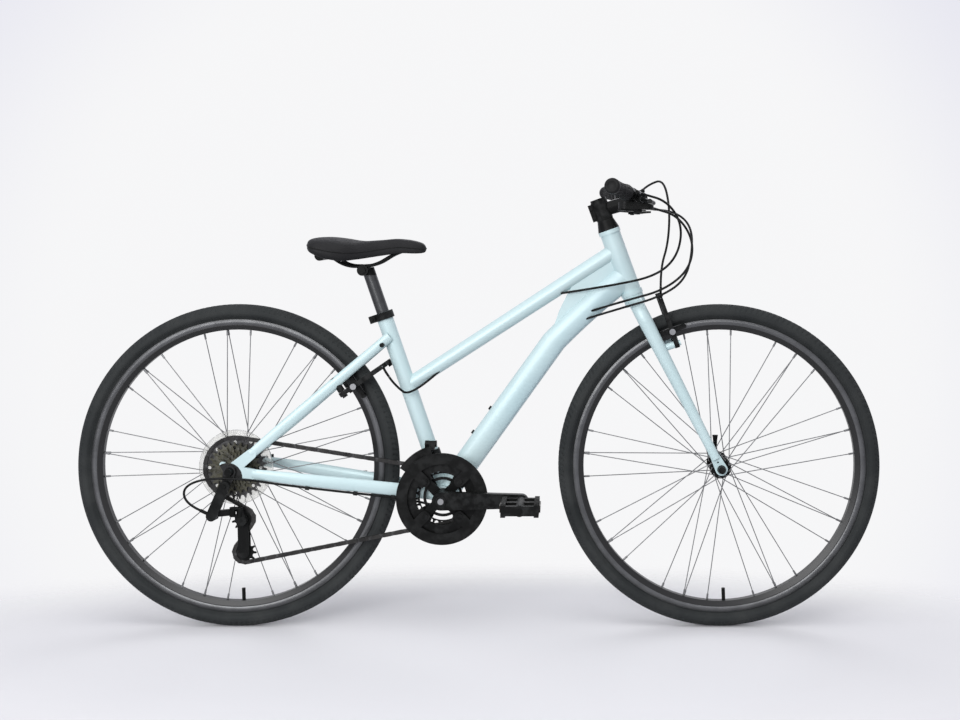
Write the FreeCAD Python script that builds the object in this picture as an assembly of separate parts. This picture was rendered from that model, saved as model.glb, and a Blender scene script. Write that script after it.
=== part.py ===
import FreeCAD, Part
import math
import os

# A step-through hybrid bike. Millimetres, X forward, Y to the rider's left, Z up.
# The origin is on the ground, midway between the two axles.

V = FreeCAD.Vector
os.makedirs("parts", exist_ok=True)

# Wheels and frame geometry
WHEELBASE = 1042.0
TYRE_R = 349.0
TYRE_HALF_W = 19.0
BB_AHEAD = 447.0
BB_DROP = 61.0
SEAT_ANGLE = 71.0
HEAD_ANGLE = 70.0
FORK_RAKE = 50.0
CUT_OVERRUN = 4.0
RUN_FIT = 0.05
SEAT_GAP = 0.05
BODY_GAP = 0.3

# Frame tubes
TUBE_WALL = 2.0
STAY_WALL = 1.6
SEAT_TUBE_R = 17.4
SEAT_TUBE_LENGTH = 415.0
POST_R = 13.6
HEAD_TUBE_R = 22.0
HEAD_TUBE_LOW = 402.0
HEAD_TUBE_LENGTH = 132.0
HEAD_CUP_R = 17.0
SHELL_R = 21.0
SHELL_HALF_W = 34.0
SHELL_BORE_R = 17.5
BRACKET_LIP = 3.0
TOP_TUBE_SEAT_UP = 247.0
TOP_TUBE_HEAD_DOWN = 38.0
TOP_TUBE_SEAT_SIZE = (15.0, 15.5)
TOP_TUBE_HEAD_SIZE = (18.5, 17.5)
DOWN_TUBE_STRAIGHT = 405.0
DOWN_TUBE_ANGLE = 54.3
DOWN_TUBE_BEND_RUN = 84.0
DOWN_TUBE_BEND_RISE = 80.0
DOWN_TUBE_HEAD_UP = 33.0
DOWN_TUBE_LOW_SIZE = (21.0, 27.0)
DOWN_TUBE_MID_SIZE = (23.0, 26.5)
DOWN_TUBE_HIGH_SIZE = (20.5, 27.5)
WEB_HALF_W = 11.0
WEB_LINE = ((161.0, 646.0), (174.0, 683.0), (190.0, 716.0), (202.0, 738.0), (288.0, 804.0), (318.0, 758.0),
            (246.0, 697.0))

# Rear stays and dropouts
REAR_HUB_HALF = 67.5
DROPOUT_THICK = 6.0
DROPOUT_R = 13.0
DROPOUT_STAY_R = 11.0
STAY_END_AHEAD = 46.0
CHAIN_STAY_AHEADS = (433.0, 387.0, 346.0, 190.0)
CHAIN_STAY_OFFSETS = (21.5, 26.0, 31.0, 54.0)
CHAIN_STAY_HALF_HEIGHTS = (14.0, 14.0, 14.0, 13.5)
CHAIN_STAY_HALF_W = 7.0
CHAIN_STAY_END_HALF_HEIGHT = 10.5
CHAIN_STAY_END_HALF_W = 4.0
STAY_END_OFFSET = 70.6
SEAT_STAY_UP = 361.0
SEAT_STAY_TOP_OFFSET = 20.0
SEAT_STAY_AHEADS = (268.0, 190.0)
SEAT_STAY_OFFSETS = (34.0, 47.0)
SEAT_STAY_HALF_HEIGHTS = (11.0, 12.0)
SEAT_STAY_HALF_W = 7.0
SEAT_STAY_END_RUN = 44.0
SEAT_STAY_END_RISE = 36.0
SEAT_STAY_END_HALF_HEIGHT = 9.5
EYELET_R = 5.5
EYELET_BORE_R = 2.1
EYELET_BACK = 17.0
EYELET_UP = 14.0
HANGER_BACK = 8.0
HANGER_DOWN = 29.0
HANGER_THICK = 7.0
HANGER_R = 9.0

# Fork, headset, stem and bar
STEERER_R = 14.3
STEERER_WALL = 2.4
CROWN_R = 22.5
CROWN_HEIGHT = 22.0
CROWN_ROOM_R = 26.0
LEG_TOP_OFFSET = 45.0
LEG_LOW_OFFSET = 55.0
LEG_TOP_HALF = (15.5, 13.0)
LEG_ROOT_HALF = 15.0
LEG_SHOULDER_DROP = 10.0
LEG_SHOULDER_LEAN = 42.0
LEG_TOP_DROP = 48.0
LEG_LOW_HALF = (9.5, 8.0)
LEG_SHOULDER = 17.0
LEG_END_UP = 26.0
FRONT_HUB_HALF = 50.0
FORK_TIP_THICK = 6.0
FORK_TIP_R = 13.0
FORK_TIP_OVERLAP = 8.0
FORK_EYELET_UP = 17.0
CUP_FLANGE_R = 24.0
CUP_FLANGE_HEIGHT = 9.0
CUP_DEPTH = 12.0
CONE_HEIGHT = 24.0
CONE_TOP_R = 17.5
STEM_CLAMP_HEIGHT = 42.0
STEM_CLAMP_R = 18.5
STEM_CAP_HEIGHT = 5.0
STEM_ARM_HALF = (13.0, 15.0)
STEM_BOLT_R = 4.0
STEM_LUG = (26.0, 18.0)
STEM_LUG_TRIM = 2.0
STEM_SPLIT = 1.2
FACE_BOLT_SIDE = 15.0
FACE_BOLT_UP = 16.2
FACE_BOLT_R = 2.5
FACE_BOLT_OUT = 13.0
FACE_BOLT_HEAD = 5.0
BAR_AHEAD = 346.0
BAR_Z = 925.0
BAR_R = 11.1
BAR_CLAMP_R = 12.7
BAR_CLAMP_HALF = 30.0
FACE_R = 19.5
FACE_HALF_W = 22.0
BAR_STRAIGHT_HALF = 55.0
BAR_BEND_R = 60.0
GRIP_END_AHEAD = 280.0
GRIP_END_OFFSET = 316.0
GRIP_END_Z = 947.0
GRIP_R = 15.5
GRIP_LENGTH = 128.0
GRIP_FLANGE_R = 17.0
GRIP_FLANGE_W = 4.0
GRIP_WAIST_R = 14.2
GRIP_CAP_T = 4.0
GRIP_END_R = 13.5

# Brake levers and shifter pods, measured along the bar from its grip end
PERCH_AT = 146.0
PERCH_HALF_W = 9.0
PERCH_R = 16.0
LEVER_PIVOT_AHEAD = 27.0
LEVER_PIVOT_IN = 160.0
LEVER_PIVOT_R = 4.0
LEVER_EYE_R = 8.0
LEVER_HALF_T = 4.5
LEVER_LINE = ((27.0, 160.0), (46.0, 150.0), (59.0, 132.0), (65.0, 104.0), (65.0, 76.0), (69.0, 58.0))
LEVER_HALF_W = (6.5, 6.0, 5.2, 5.0, 5.4, 4.6)
LEVER_TILT = 21.0
PERCH_FORK_GAP = 0.4
PERCH_EAR_T = 3.5
PERCH_ROOT_AHEAD = 16.0
BARREL_AHEAD = 18.0
BARREL_SINK = 1.5
PERCH_BARREL_LENGTH = 24.0
POD_AT = 186.0
POD_HALF_W = 17.0
POD_LENGTH = 46.0
POD_HEIGHT = 15.0
POD_DOWN = 15.0
POD_BACK = 10.0
POD_RING_HALF = 6.0
POD_NOSE_R = 11.0
THUMB_PIVOT_AHEAD = 14.0
THUMB_R = 9.0
THUMB_T = 4.0
THUMB_BACK = 30.0
THUMB_OUT = 26.0
THUMB_WIDTH = 12.0
TRIGGER_T = 3.5
TRIGGER_LENGTH = 26.0
TRIGGER_WIDTH = 9.0
TRIGGER_PIN_R = 2.5
TRIGGER_OUT = 14.0
TRIGGER_CAP_R = 4.5
TRIGGER_CAP_T = 1.5

# Rims, tyres, hubs and spokes
TYRE_DEPTH = 32.0
RIM_R = TYRE_R - TYRE_DEPTH
RIM_HEIGHT = 23.0
RIM_BED_R = RIM_R - RIM_HEIGHT
RIM_TRACK_HEIGHT = 13.0
RIM_TRACK_LOW_R = RIM_R - RIM_TRACK_HEIGHT
RIM_HALF_W = 12.0
RIM_BED_HALF_W = 7.0
RIM_WALL = 2.2
RIM_SEAT_DEPTH = 7.0
RIM_SEAT_R = RIM_R - RIM_SEAT_DEPTH
RIM_WELL = 3.5
RIM_WELL_HALF = 6.0
TYRE_WALL = 2.6
TYRE_BEAD_HALF_W = 9.3
TYRE_BEAD_GAP = 1.0
TYRE_BEAD_R = RIM_SEAT_R + TYRE_BEAD_GAP
TYRE_NECK_RISE = 1.5
TYRE_NECK_R = RIM_R + TYRE_NECK_RISE
TYRE_NECK_SHARE = 0.86
TUBE_SECTION_R = 11.5
VALVE_R = 3.9
VALVE_INSIDE = 26.0
VALVE_ANGLE = -88.0
SPOKE_COUNT = 36
SPOKE_R = 1.0
SPOKE_CROSS = 3
NIPPLE_R = 2.1
NIPPLE_LENGTH = 12.0
NIPPLE_SINK = 0.6
SPOKE_RIM_OFFSETS = (1.3, 3.6)
SPOKE_HEAD_R = 1.7
FLANGE_THICK = 3.4
FRONT_FLANGE_R = 23.0
FRONT_SPOKE_R = 19.0
FRONT_FLANGE_AT = 34.0
FRONT_BARREL_R = 13.0
FRONT_HUB_END = 42.0
REAR_FLANGE_R = 28.0
REAR_SPOKE_R = 23.5
REAR_FLANGE_RIGHT = -19.0
REAR_FLANGE_LEFT = 36.0
REAR_BARREL_R = 15.0
HUB_WAIST_SHARE = 0.86
REAR_HUB_LEFT = 58.0
REAR_HUB_RIGHT = -24.0
AXLE_R = 5.0
SKEWER_R = 2.4
CONE_R = 9.0
AXLE_SHORT = 1.0
QR_NUT_R = 9.5
QR_NUT_LENGTH = 12.0
QR_CAM_R = 10.5
QR_CAM_LENGTH = 12.0
QR_LEVER_LENGTH = 52.0
QR_LEVER_HALF_T = 2.6
QR_LEVER_ROOT_W = 9.0
QR_LEVER_TIP_W = 13.0
QR_PIN_R = 3.0
QR_PIN_HALF = 8.0
QR_EYE_R = 6.5
QR_EYE_GAP = 3.0
QR_NUT_TAPER = 2.0

# Chain, chainrings, sprockets and pulleys
CHAIN_PITCH = 12.7
ROLLER_R = 3.85
ROLLER_CLEAR = 0.22
TOOTH_RISE = 3.3
TOOTH_TIP_SHARE = 0.11
PLATE_R = 4.1
CHAIN_INNER_HALF = 1.25
CHAIN_PLATE_T = 0.9
CHAIN_PLATE_GAP = 0.35
CHAIN_PIN_R = 1.75
CHAIN_PIN_CLEAR = 0.1
CHAIN_PIN_OVER = 0.3
SPROCKET_T = 1.8
RING_T = 2.0
RING_TEETH = (28, 34, 42)
RING_Y = (-39.0, -47.0, -55.0)
RING_BORE_R = (26.5, 46.0, 46.0)
RING_WINDOWS = (((25.0, 36.5), (42.5, 50.0)), ((44.0, 57.0),), ((44.0, 57.0),))
RING_WINDOW_ANGLES = (0.0, 90.0, 180.0, 270.0)
RING_WINDOW_HALF_ANGLE = 27.0
SPROCKET_TEETH = (32, 26, 21, 18, 16, 14, 12)
SPROCKET_FIRST_Y = -33.0
SPROCKET_STEP = 5.0
FREEWHEEL_R = 17.0
FREEWHEEL_LOW_Y = -27.0
FREEWHEEL_HIGH_Y = -65.0
SPACER_R = 19.0
WINDOW_COUNT = 8
WINDOW_R = 3.6
WINDOW_AT_SHARE = 0.9
WINDOWED_SPROCKETS = 2
PULLEY_TEETH = 11
PULLEY_T = 2.0
PULLEY_BORE_R = 4.0
PULLEY_PIN_R = 3.9
GUIDE_AHEAD = 18.0
GUIDE_DOWN = 110.0
CAGE_LENGTH = 71.0
CAGE_LEAST_ANGLE = -115.0
CAGE_MOST_ANGLE = -60.0
CHAIN_LINKS = 114
PITCH_SLACK_SHARE = 0.2
SOLVE_STEPS = 40

# Crank set and pedals
SPINDLE_R = 8.5
SPINDLE_HALF = 76.0
CRANK_LENGTH = 170.0
CRANK_INNER_Y = 74.0
CRANK_T = 14.0
CRANK_BOSS_R = 19.0
CRANK_EYE_R = 14.5
SPIDER_BOLT_R = 52.0
SPIDER_TAB_R = 8.5
SPIDER_ROOT_TRIM = 8.0
INNER_BOLT_R = 32.0
RING_BOLT_R = 3.8
RING_BOLT_HEAD_R = 6.2
RING_BOLT_HEAD = 2.0
GUARD_R = 97.5
GUARD_INNER_R = 74.0
GUARD_T = 3.0
GUARD_Y = -63.0
GUARD_ARM_W = 22.0
CRANK_CAP_R = 11.0
CRANK_CAP_T = 3.0
PEDAL_AXLE_R = 6.0
PEDAL_AXLE_LENGTH = 92.0
PEDAL_FLANGE_R = 9.0
PEDAL_FLANGE_T = 4.0
PEDAL_LENGTH = 78.0
PEDAL_WIDTH = 84.0
PEDAL_HEIGHT = 26.0
PEDAL_BAR_T = 10.0
PEDAL_CORE_R = 11.5
PEDAL_GAP = 2.0
PEDAL_TOOTH = 3.0
PEDAL_TEETH = 7
PEDAL_NOTCH_SHARE = 0.45
PEDAL_REFLECTOR = (44.0, 14.0, 3.0)

# Rim brakes, in the plane square to their studs
REAR_STUD_ANGLE = 34.5
FRONT_STUD_ANGLE = 109.6
STUD_OFFSET = 40.0
STUD_PIN_R = 4.0
STUD_BASE_R = 7.5
STUD_BASE_BACK = 2.0
REAR_STUD_REACH = 40.0
FRONT_STUD_REACH = 47.0
ARM_T = 10.0
ARM_EYE_R = 9.0
ARM_LENGTH = 104.0
ARM_WIDTH = 13.0
ARM_TOP_OFFSET = 34.0
PAD_UP = 28.0
PAD_BELOW_RIM = 6.0
STUD_R = RIM_R - PAD_BELOW_RIM - PAD_UP
PAD_GAP = 1.7
PAD_HALF_LENGTH = 34.0
PAD_HALF_H = 5.0
PAD_T = 9.0
PAD_BOLT_R = 3.0
PAD_NUT_R = 6.5
PAD_NUT_T = 7.0
ARM_BOLT_R = 6.0
ARM_BOLT_T = 4.0
NOODLE_R = 2.6
NOODLE_REACH = 8.0
NOODLE_IN = 12.0
NOODLE_OUT = 14.0
NOODLE_RISE = 26.0
PINCH_BOLT_R = 4.5
PINCH_BOLT_T = 5.0
BOOT_R = 4.2
BOOT_HALF = 14.0

# Derailleurs
MECH_PIVOT_BACK = 33.0
MECH_DOWN = 91.0
MECH_ARM_AHEAD = 32.5
MECH_ARM_SIDE = 15.5
MECH_ARM_HALF_H = 6.0
MECH_EYE_R = 6.5
MECH_EAR_T = 3.5
MECH_PIN_R = 2.5
MECH_ROOT_BACK = 2.0
MECH_ROOT_OUT = 14.0
MECH_BODY_R = 11.0
MECH_BODY_T = 12.0
MECH_BOLT_R = 4.0
MECH_BOLT_HEAD = 3.0
MECH_STOP_ANGLE = 25.0
KNUCKLE_REST_Y = -52.0
KNUCKLE_ROOT_AHEAD = 15.0
KNUCKLE_ROOT_SIDE = 2.0
KNUCKLE_R = 11.0
KNUCKLE_T = 13.0
CAGE_T = 1.6
CAGE_HALF_GAP = 5.4
CAGE_END_R = 12.0
BARREL_R = 3.5
BARREL_LENGTH = 16.0
FRONT_MECH_UP = 90.0
FRONT_MECH_BAND_HALF = 7.0
FRONT_MECH_BAND_T = 3.0
FRONT_MECH_PIVOT_UP = 117.0
FRONT_MECH_PIVOT_Y = -24.0
FRONT_MECH_PIN_R = 3.0
FRONT_BLOCK_HALF = 11.0
FRONT_BLOCK_T = 9.0
FRONT_CAGE_LOW_R = 92.0
FRONT_CAGE_HIGH_R = 111.0
FRONT_CAGE_FROM = 104.0
FRONT_CAGE_TO = 146.0
FRONT_CAGE_T = 1.2
FRONT_CAGE_IN = 6.0
FRONT_CAGE_OUT = 5.2
FRONT_HANG_SINK = 6.0
FRONT_BRIDGE_T = 3.0

# Seat post and saddle
COLLAR_HEIGHT = 16.0
COLLAR_T = 4.0
COLLAR_LUG = 11.0
COLLAR_LUG_HALF_W = 8.0
COLLAR_BOLT_R = 3.0
COLLAR_BOLT_OVER = 3.5
POST_WALL = 2.2
POST_IN_TUBE = 120.0
CLAMP_UP = 100.0
CLAMP_BACK = 8.0
CLAMP_HALF_W = 27.0
CLAMP_R = 12.0
CLAMP_BOLT_R = 4.0
CLAMP_NUT_R = 7.0
CLAMP_NUT_T = 5.0
RAIL_R = 3.5
RAIL_LINE = ((-321.6, 37.0, 806.5), (-285.6, 22.0, 780.5), (-225.6, 22.0, 780.5), (-178.6, 14.0, 809.5),
             (-139.6, 8.0, 818.5))
SADDLE_STATIONS = (
    (-368.6, 44.0, 836.5, 823.5), (-353.6, 76.0, 842.5, 811.5), (-323.6, 84.0, 844.5, 799.5),
    (-287.6, 76.0, 840.5, 793.5), (-254.6, 55.0, 835.5, 796.5), (-215.6, 36.0, 838.5, 802.5),
    (-174.6, 27.0, 842.0, 808.5), (-135.6, 21.0, 835.5, 813.5), (-114.6, 12.0, 826.5, 817.5))
SADDLE_SIDE_SHARES = ((0.93, 0.0), (1.0, 0.38), (0.84, 0.8), (0.45, 0.97), (0.0, 1.0))
SADDLE_BASE_SHARE = 0.86
SADDLE_BASE_T = 5.0
BUMPER_AT = (-337.6, 804.5)
BUMPER_R = 11.0
BUMPER_HALF_W = 46.0

# Frame fittings and cables
BOTTLE_BOLT_AT = (143.0, 207.0)
BOTTLE_BOLT_R = 4.5
BOTTLE_BOLT_T = 3.5
BOTTLE_BOLT_SINK = 3.0
RACK_BOLT_AHEAD = 315.0
RACK_BOLT_Z = 612.0
RACK_BOLT_R = 5.0
RACK_BOLT_OUT = 36.0
RACK_BOLT_IN = 24.0
HOUSING_R = 2.5
WIRE_R = 0.9
BARREL_LEAD = 16.0
STOP_R = 4.8
STOP_LENGTH = 9.0
REAR_BRAKE_LINE = ((400.0, -138.0, 920.0), (432.0, -128.0, 870.0), (424.0, -106.0, 806.0),
                   (384.0, -72.0, 764.0), (300.0, -42.0, 742.0), (178.0, -12.0, 722.0))
RIGHT_SHIFT_LINE = ((426.0, -84.0, 890.0), (460.0, -80.0, 836.0), (450.0, -84.0, 776.0),
                    (396.0, -77.0, 732.0), (318.0, -60.0, 710.0), (230.0, -14.0, 680.0))
LEFT_SHIFT_LINE = ((430.0, 60.0, 900.0), (462.0, -2.0, 868.0), (458.0, -58.0, 806.0),
                   (440.0, -68.0, 750.0), (386.0, -60.0, 716.0), (312.0, -48.0, 694.0),
                   (216.0, -14.0, 662.0))
FRONT_BRAKE_LINE = ((376.0, 92.0, 962.0), (404.0, 38.0, 970.0), (414.0, -12.0, 906.0),
                    (408.0, -42.0, 830.0))
FRONT_BRAKE_END_RUN = 40.0
REAR_BRAKE_END_RUN = 22.0
SEAT_CROSSING = (-144.0, -25.0, 498.0)
TOP_TUBE_EXIT = (-72.0, -4.0, 566.0)
STAY_CLIP_AHEADS = (339.0, 260.0, 160.0)
STAY_LINE_AHEADS = (391.0, 190.0, 84.0)
STAY_LINE_OFFSETS = (27.5, 54.0, 67.0)
STAY_LINE_DROPS = (17.2, 17.0, 15.2)
SHELL_EXIT = (-84.0, -22.0, 262.0)
GEAR_LOOP = ((-488.0, -87.0, 335.3), (-572.0, -87.0, 337.0), (-617.0, -87.0, 318.0))
GEAR_END_RUN = 34.0

# Derived places
REAR = V(-WHEELBASE / 2, 0, TYRE_R)
FRONT = V(WHEELBASE / 2, 0, TYRE_R)
BB = V(REAR.x + BB_AHEAD, 0, TYRE_R - BB_DROP)
SEAT_RAD = math.radians(SEAT_ANGLE)
HEAD_RAD = math.radians(HEAD_ANGLE)
SEAT_UP = V(-math.cos(SEAT_RAD), 0, math.sin(SEAT_RAD))
HEAD_UP = V(-math.cos(HEAD_RAD), 0, math.sin(HEAD_RAD))
STEER_FOOT = V(FRONT.x - FORK_RAKE / math.sin(HEAD_RAD), 0, TYRE_R)
LEFT = V(0, 1, 0)
RIGHT = V(0, -1, 0)
UP = V(0, 0, 1)
AHEAD = V(1, 0, 0)
ORIGIN = V(0, 0, 0)


def seat_at(up):
    return BB + SEAT_UP * up


def steer_at(up):
    return STEER_FOOT + HEAD_UP * up


def unit(vector):
    return vector * (1 / vector.Length)


def save(name, *solids):
    shape = solids[0] if len(solids) == 1 else Part.makeCompound(list(solids))
    shape.exportStep("parts/" + name + ".step")


def rod(start, end, radius):
    return Part.makeCylinder(radius, (end - start).Length, start, end - start)


def taper(start, end, start_r, end_r):
    return Part.makeCone(start_r, end_r, (end - start).Length, start, end - start)


def tube(start, end, outer_r, inner_r):
    over = unit(end - start) * CUT_OVERRUN
    return rod(start, end, outer_r).cut(rod(start - over, end + over, inner_r))


def mirrored(shape):
    return shape.mirror(ORIGIN, LEFT)


def plate(points, depth):
    """A flat piece: the closed outline through points, pushed along depth."""
    return Part.Face(Part.makePolygon(list(points) + [points[0]])).extrude(depth)


def stadium(start, end, start_r, end_r, depth):
    """A flat link between two round eyes, pushed along depth."""
    ahead = unit(end - start)
    side = unit(depth).cross(ahead)
    lean = math.asin((start_r - end_r) / (end - start).Length)
    flank = side * math.cos(lean) + ahead * math.sin(lean)
    other = side * -math.cos(lean) + ahead * math.sin(lean)
    first = Part.LineSegment(start + flank * start_r, end + flank * end_r)
    last = Part.LineSegment(end + other * end_r, start + other * start_r)
    nose = Part.Arc(end + flank * end_r, end + ahead * end_r, end + other * end_r)
    tail = Part.Arc(start + other * start_r, start - ahead * start_r, start + flank * start_r)
    return Part.Face(Part.Wire([item.toShape() for item in (first, nose, last, tail)])).extrude(depth)


def oval(centre, side, up, half_w, half_h):
    """An ellipse as one smooth closed wire, in the plane of side and up."""
    normal = side.cross(up)
    frame = FreeCAD.Matrix(
        side.x * half_w, up.x * half_h, normal.x, centre.x,
        side.y * half_w, up.y * half_h, normal.y, centre.y,
        side.z * half_w, up.z * half_h, normal.z, centre.z,
        0, 0, 0, 1)
    return Part.Wire(Part.makeCircle(1)).transformGeometry(frame)


def facets(centre, side, up, half_w, half_h):
    """A softly eight-sided tube section, in the plane of side and up."""
    shares = ((0.0, 1.0), (0.62, 0.9), (1.0, 0.34), (1.0, -0.34), (0.62, -0.9),
              (0.0, -1.0), (-0.62, -0.9), (-1.0, -0.34), (-1.0, 0.34), (-0.62, 0.9))
    points = [centre + side * (half_w * w) + up * (half_h * h) for w, h in shares]
    curve = Part.BSplineCurve()
    curve.interpolate(Points=points, PeriodicFlag=True)
    return Part.Wire(curve.toShape())


def loft(sections, ruled=False):
    return Part.makeLoft(sections, True, ruled)


def hollow(outline, stations, wall):
    """A thin tube lofted through stations of (centre, side, up, half width, half height)."""
    outer = loft([outline(*item) for item in stations])
    inner = loft([outline(c, s, u, w - wall, h - wall) for c, s, u, w, h in stations])
    return outer, outer.cut(inner)


def rounded(points, radius=None):
    """Straight runs joined by tangent arcs; without a radius each arc is as large as its runs allow."""
    run_share = 0.45
    edges = []
    start = points[0]
    for before, corner, after in zip(points, points[1:], points[2:]):
        back = unit(before - corner)
        on = unit(after - corner)
        turn = math.pi - back.getAngle(on)
        reach = run_share * min((before - corner).Length, (after - corner).Length)
        if radius is not None:
            reach = min(reach, radius * math.tan(turn / 2))
        bend = reach / math.tan(turn / 2)
        enter = corner + back * reach
        leave = corner + on * reach
        middle = unit(back + on)
        depth = bend / math.cos(turn / 2) - bend
        edges.append(Part.LineSegment(start, enter).toShape())
        edges.append(Part.Arc(enter, corner + middle * depth, leave).toShape())
        start = leave
    edges.append(Part.LineSegment(start, points[-1]).toShape())
    return Part.Wire(edges)


def bent_rod(points, section_r, radius=None):
    """A round bar along straight runs and tangent arcs."""
    path = rounded(points, radius)
    profile = Part.Wire(Part.makeCircle(section_r, points[0], points[1] - points[0]))
    return path.makePipeShell([profile], True, False)


def turned(base, axis, radial, profile):
    """A turned piece about the axis through base; the profile holds (distance along, radius) points."""
    corners = [base + axis * along + radial * radius for along, radius in profile + profile[:1]]
    return Part.Face(Part.makePolygon(corners)).revolve(base, axis, 360)


def wheel_point(centre, radius, angle, y):
    return centre + V(radius * math.cos(angle), y, radius * math.sin(angle))


def pitch_radius(teeth):
    return CHAIN_PITCH / 2 / math.sin(math.pi / teeth)


def toothed(centre, teeth, y, thick, phase, bore_r):
    """A chain wheel whose tooth gaps sit under the rollers, one of them at the angle phase."""
    pitch_r = pitch_radius(teeth)
    seat_r = ROLLER_R + ROLLER_CLEAR
    tip_r = pitch_r + TOOTH_RISE
    half_tip = CHAIN_PITCH * TOOTH_TIP_SHARE / tip_r
    step = 2 * math.pi / teeth
    base_y = y - thick / 2
    edges = []
    for index in range(teeth):
        gap = phase + index * step
        middle = wheel_point(centre, pitch_r, gap, base_y)
        inward = unit(wheel_point(ORIGIN, pitch_r, gap, 0)) * -seat_r
        along = unit(LEFT.cross(inward)) * seat_r
        next_gap = gap + step
        next_middle = wheel_point(centre, pitch_r, next_gap, base_y)
        next_inward = unit(wheel_point(ORIGIN, pitch_r, next_gap, 0)) * -seat_r
        next_along = unit(LEFT.cross(next_inward)) * seat_r
        if (middle + along - next_middle).Length < (middle - along - next_middle).Length:
            along = along * -1
            next_along = next_along * -1
        crest = gap + step / 2
        first_tip = wheel_point(centre, tip_r, crest - half_tip, base_y)
        last_tip = wheel_point(centre, tip_r, crest + half_tip, base_y)
        edges.append(Part.Arc(middle + along, middle + inward, middle - along).toShape())
        edges.append(Part.LineSegment(middle - along, first_tip).toShape())
        edges.append(Part.LineSegment(first_tip, last_tip).toShape())
        edges.append(Part.LineSegment(last_tip, next_middle + next_along).toShape())
    disc = Part.Face(Part.Wire(edges)).extrude(LEFT * thick)
    over = LEFT * CUT_OVERRUN
    bore_start = centre + LEFT * base_y - over
    return disc.cut(rod(bore_start, bore_start + over + over + LEFT * thick, bore_r))


# Main frame

shell_solid = tube(BB + RIGHT * SHELL_HALF_W, BB + LEFT * SHELL_HALF_W, SHELL_R, SHELL_BORE_R)
shell_outer = rod(BB + RIGHT * SHELL_HALF_W, BB + LEFT * SHELL_HALF_W, SHELL_R)
seat_outer = rod(BB, seat_at(SEAT_TUBE_LENGTH), SEAT_TUBE_R)
seat_bore = rod(BB, seat_at(SEAT_TUBE_LENGTH + CUT_OVERRUN), POST_R + RUN_FIT)
seat_tube = seat_outer.cut(seat_bore).cut(shell_outer)
head_low = steer_at(HEAD_TUBE_LOW)
head_high = steer_at(HEAD_TUBE_LOW + HEAD_TUBE_LENGTH)
head_outer = rod(head_low, head_high, HEAD_TUBE_R)
head_tube = tube(head_low, head_high, HEAD_TUBE_R, HEAD_CUP_R)


def station(centre, ahead, size):
    """A section square to ahead, in the bike's middle plane."""
    along = unit(ahead)
    return (centre, LEFT, along.cross(LEFT) * -1, size[0], size[1])


top_start = seat_at(TOP_TUBE_SEAT_UP)
top_end = steer_at(HEAD_TUBE_LOW + HEAD_TUBE_LENGTH - TOP_TUBE_HEAD_DOWN)
top_run = top_end - top_start
top_outer, top_tube = hollow(oval, [
    station(top_start, top_run, TOP_TUBE_SEAT_SIZE),
    station(top_end, top_run, TOP_TUBE_HEAD_SIZE)], TUBE_WALL)
top_tube = top_tube.cut(seat_outer).cut(head_outer)

DOWN_RAD = math.radians(DOWN_TUBE_ANGLE)
down_run = V(math.cos(DOWN_RAD), 0, math.sin(DOWN_RAD))
down_knee = BB + down_run * DOWN_TUBE_STRAIGHT
down_end = steer_at(HEAD_TUBE_LOW + DOWN_TUBE_HEAD_UP)
down_bend = down_knee + V(DOWN_TUBE_BEND_RUN, 0, DOWN_TUBE_BEND_RISE)
down_straight_outer, down_straight = hollow(facets, [
    station(BB, down_run, DOWN_TUBE_LOW_SIZE),
    station(down_knee, down_run, DOWN_TUBE_MID_SIZE)], TUBE_WALL)
down_curve_outer, down_curve = hollow(facets, [
    station(down_knee, down_run, DOWN_TUBE_MID_SIZE),
    station(down_bend, down_end - down_knee, DOWN_TUBE_MID_SIZE),
    station(down_end, down_end - down_bend, DOWN_TUBE_HIGH_SIZE)], TUBE_WALL)
down_tube = down_straight.fuse(down_curve).removeSplitter()
down_tube = down_tube.cut(shell_outer).cut(seat_outer).cut(head_outer).cut(top_outer)
down_tube = down_tube.cut(rod(steer_at(HEAD_TUBE_LOW - CUP_FLANGE_HEIGHT - CROWN_HEIGHT), head_low,
                              CROWN_ROOM_R))
down_tube = max(down_tube.Solids, key=lambda solid: solid.Volume)
top_tube = max(top_tube.Solids, key=lambda solid: solid.Volume)
web = plate([V(x, -WEB_HALF_W, z) for x, z in WEB_LINE], LEFT * (WEB_HALF_W * 2))
for other in (top_outer, down_straight_outer, down_curve_outer, head_outer):
    web = web.cut(other)
web = max(web.Solids, key=lambda solid: solid.Volume)

# Rear stays and dropouts, made on the left and mirrored

axle_left = REAR + LEFT * REAR_HUB_HALF
stay_end = REAR + V(STAY_END_AHEAD, STAY_END_OFFSET, -STAY_END_AHEAD * BB_DROP / BB_AHEAD)


def stay_station(centre, ahead, half_w, half_h):
    along = unit(ahead)
    side = unit(UP.cross(along))
    return (centre, side, along.cross(side), half_w, half_h)


chain_points = [REAR + V(ahead, offset, -ahead * BB_DROP / BB_AHEAD)
                for ahead, offset in zip(CHAIN_STAY_AHEADS, CHAIN_STAY_OFFSETS)]
chain_points.append(stay_end)
chain_sections = []
for index, point in enumerate(chain_points):
    before = chain_points[max(index - 1, 0)]
    after = chain_points[min(index + 1, len(chain_points) - 1)]
    last = index == len(chain_points) - 1
    tall = CHAIN_STAY_END_HALF_HEIGHT if last else CHAIN_STAY_HALF_HEIGHTS[index]
    wide = CHAIN_STAY_END_HALF_W if last else CHAIN_STAY_HALF_W
    chain_sections.append(stay_station(point, before - after, wide, tall))
chain_stay_outer, chain_stay_left = hollow(oval, chain_sections, STAY_WALL)
chain_stay_left = chain_stay_left.cut(shell_outer)
chain_stay_left = max(chain_stay_left.Solids, key=lambda solid: solid.Volume)

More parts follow.
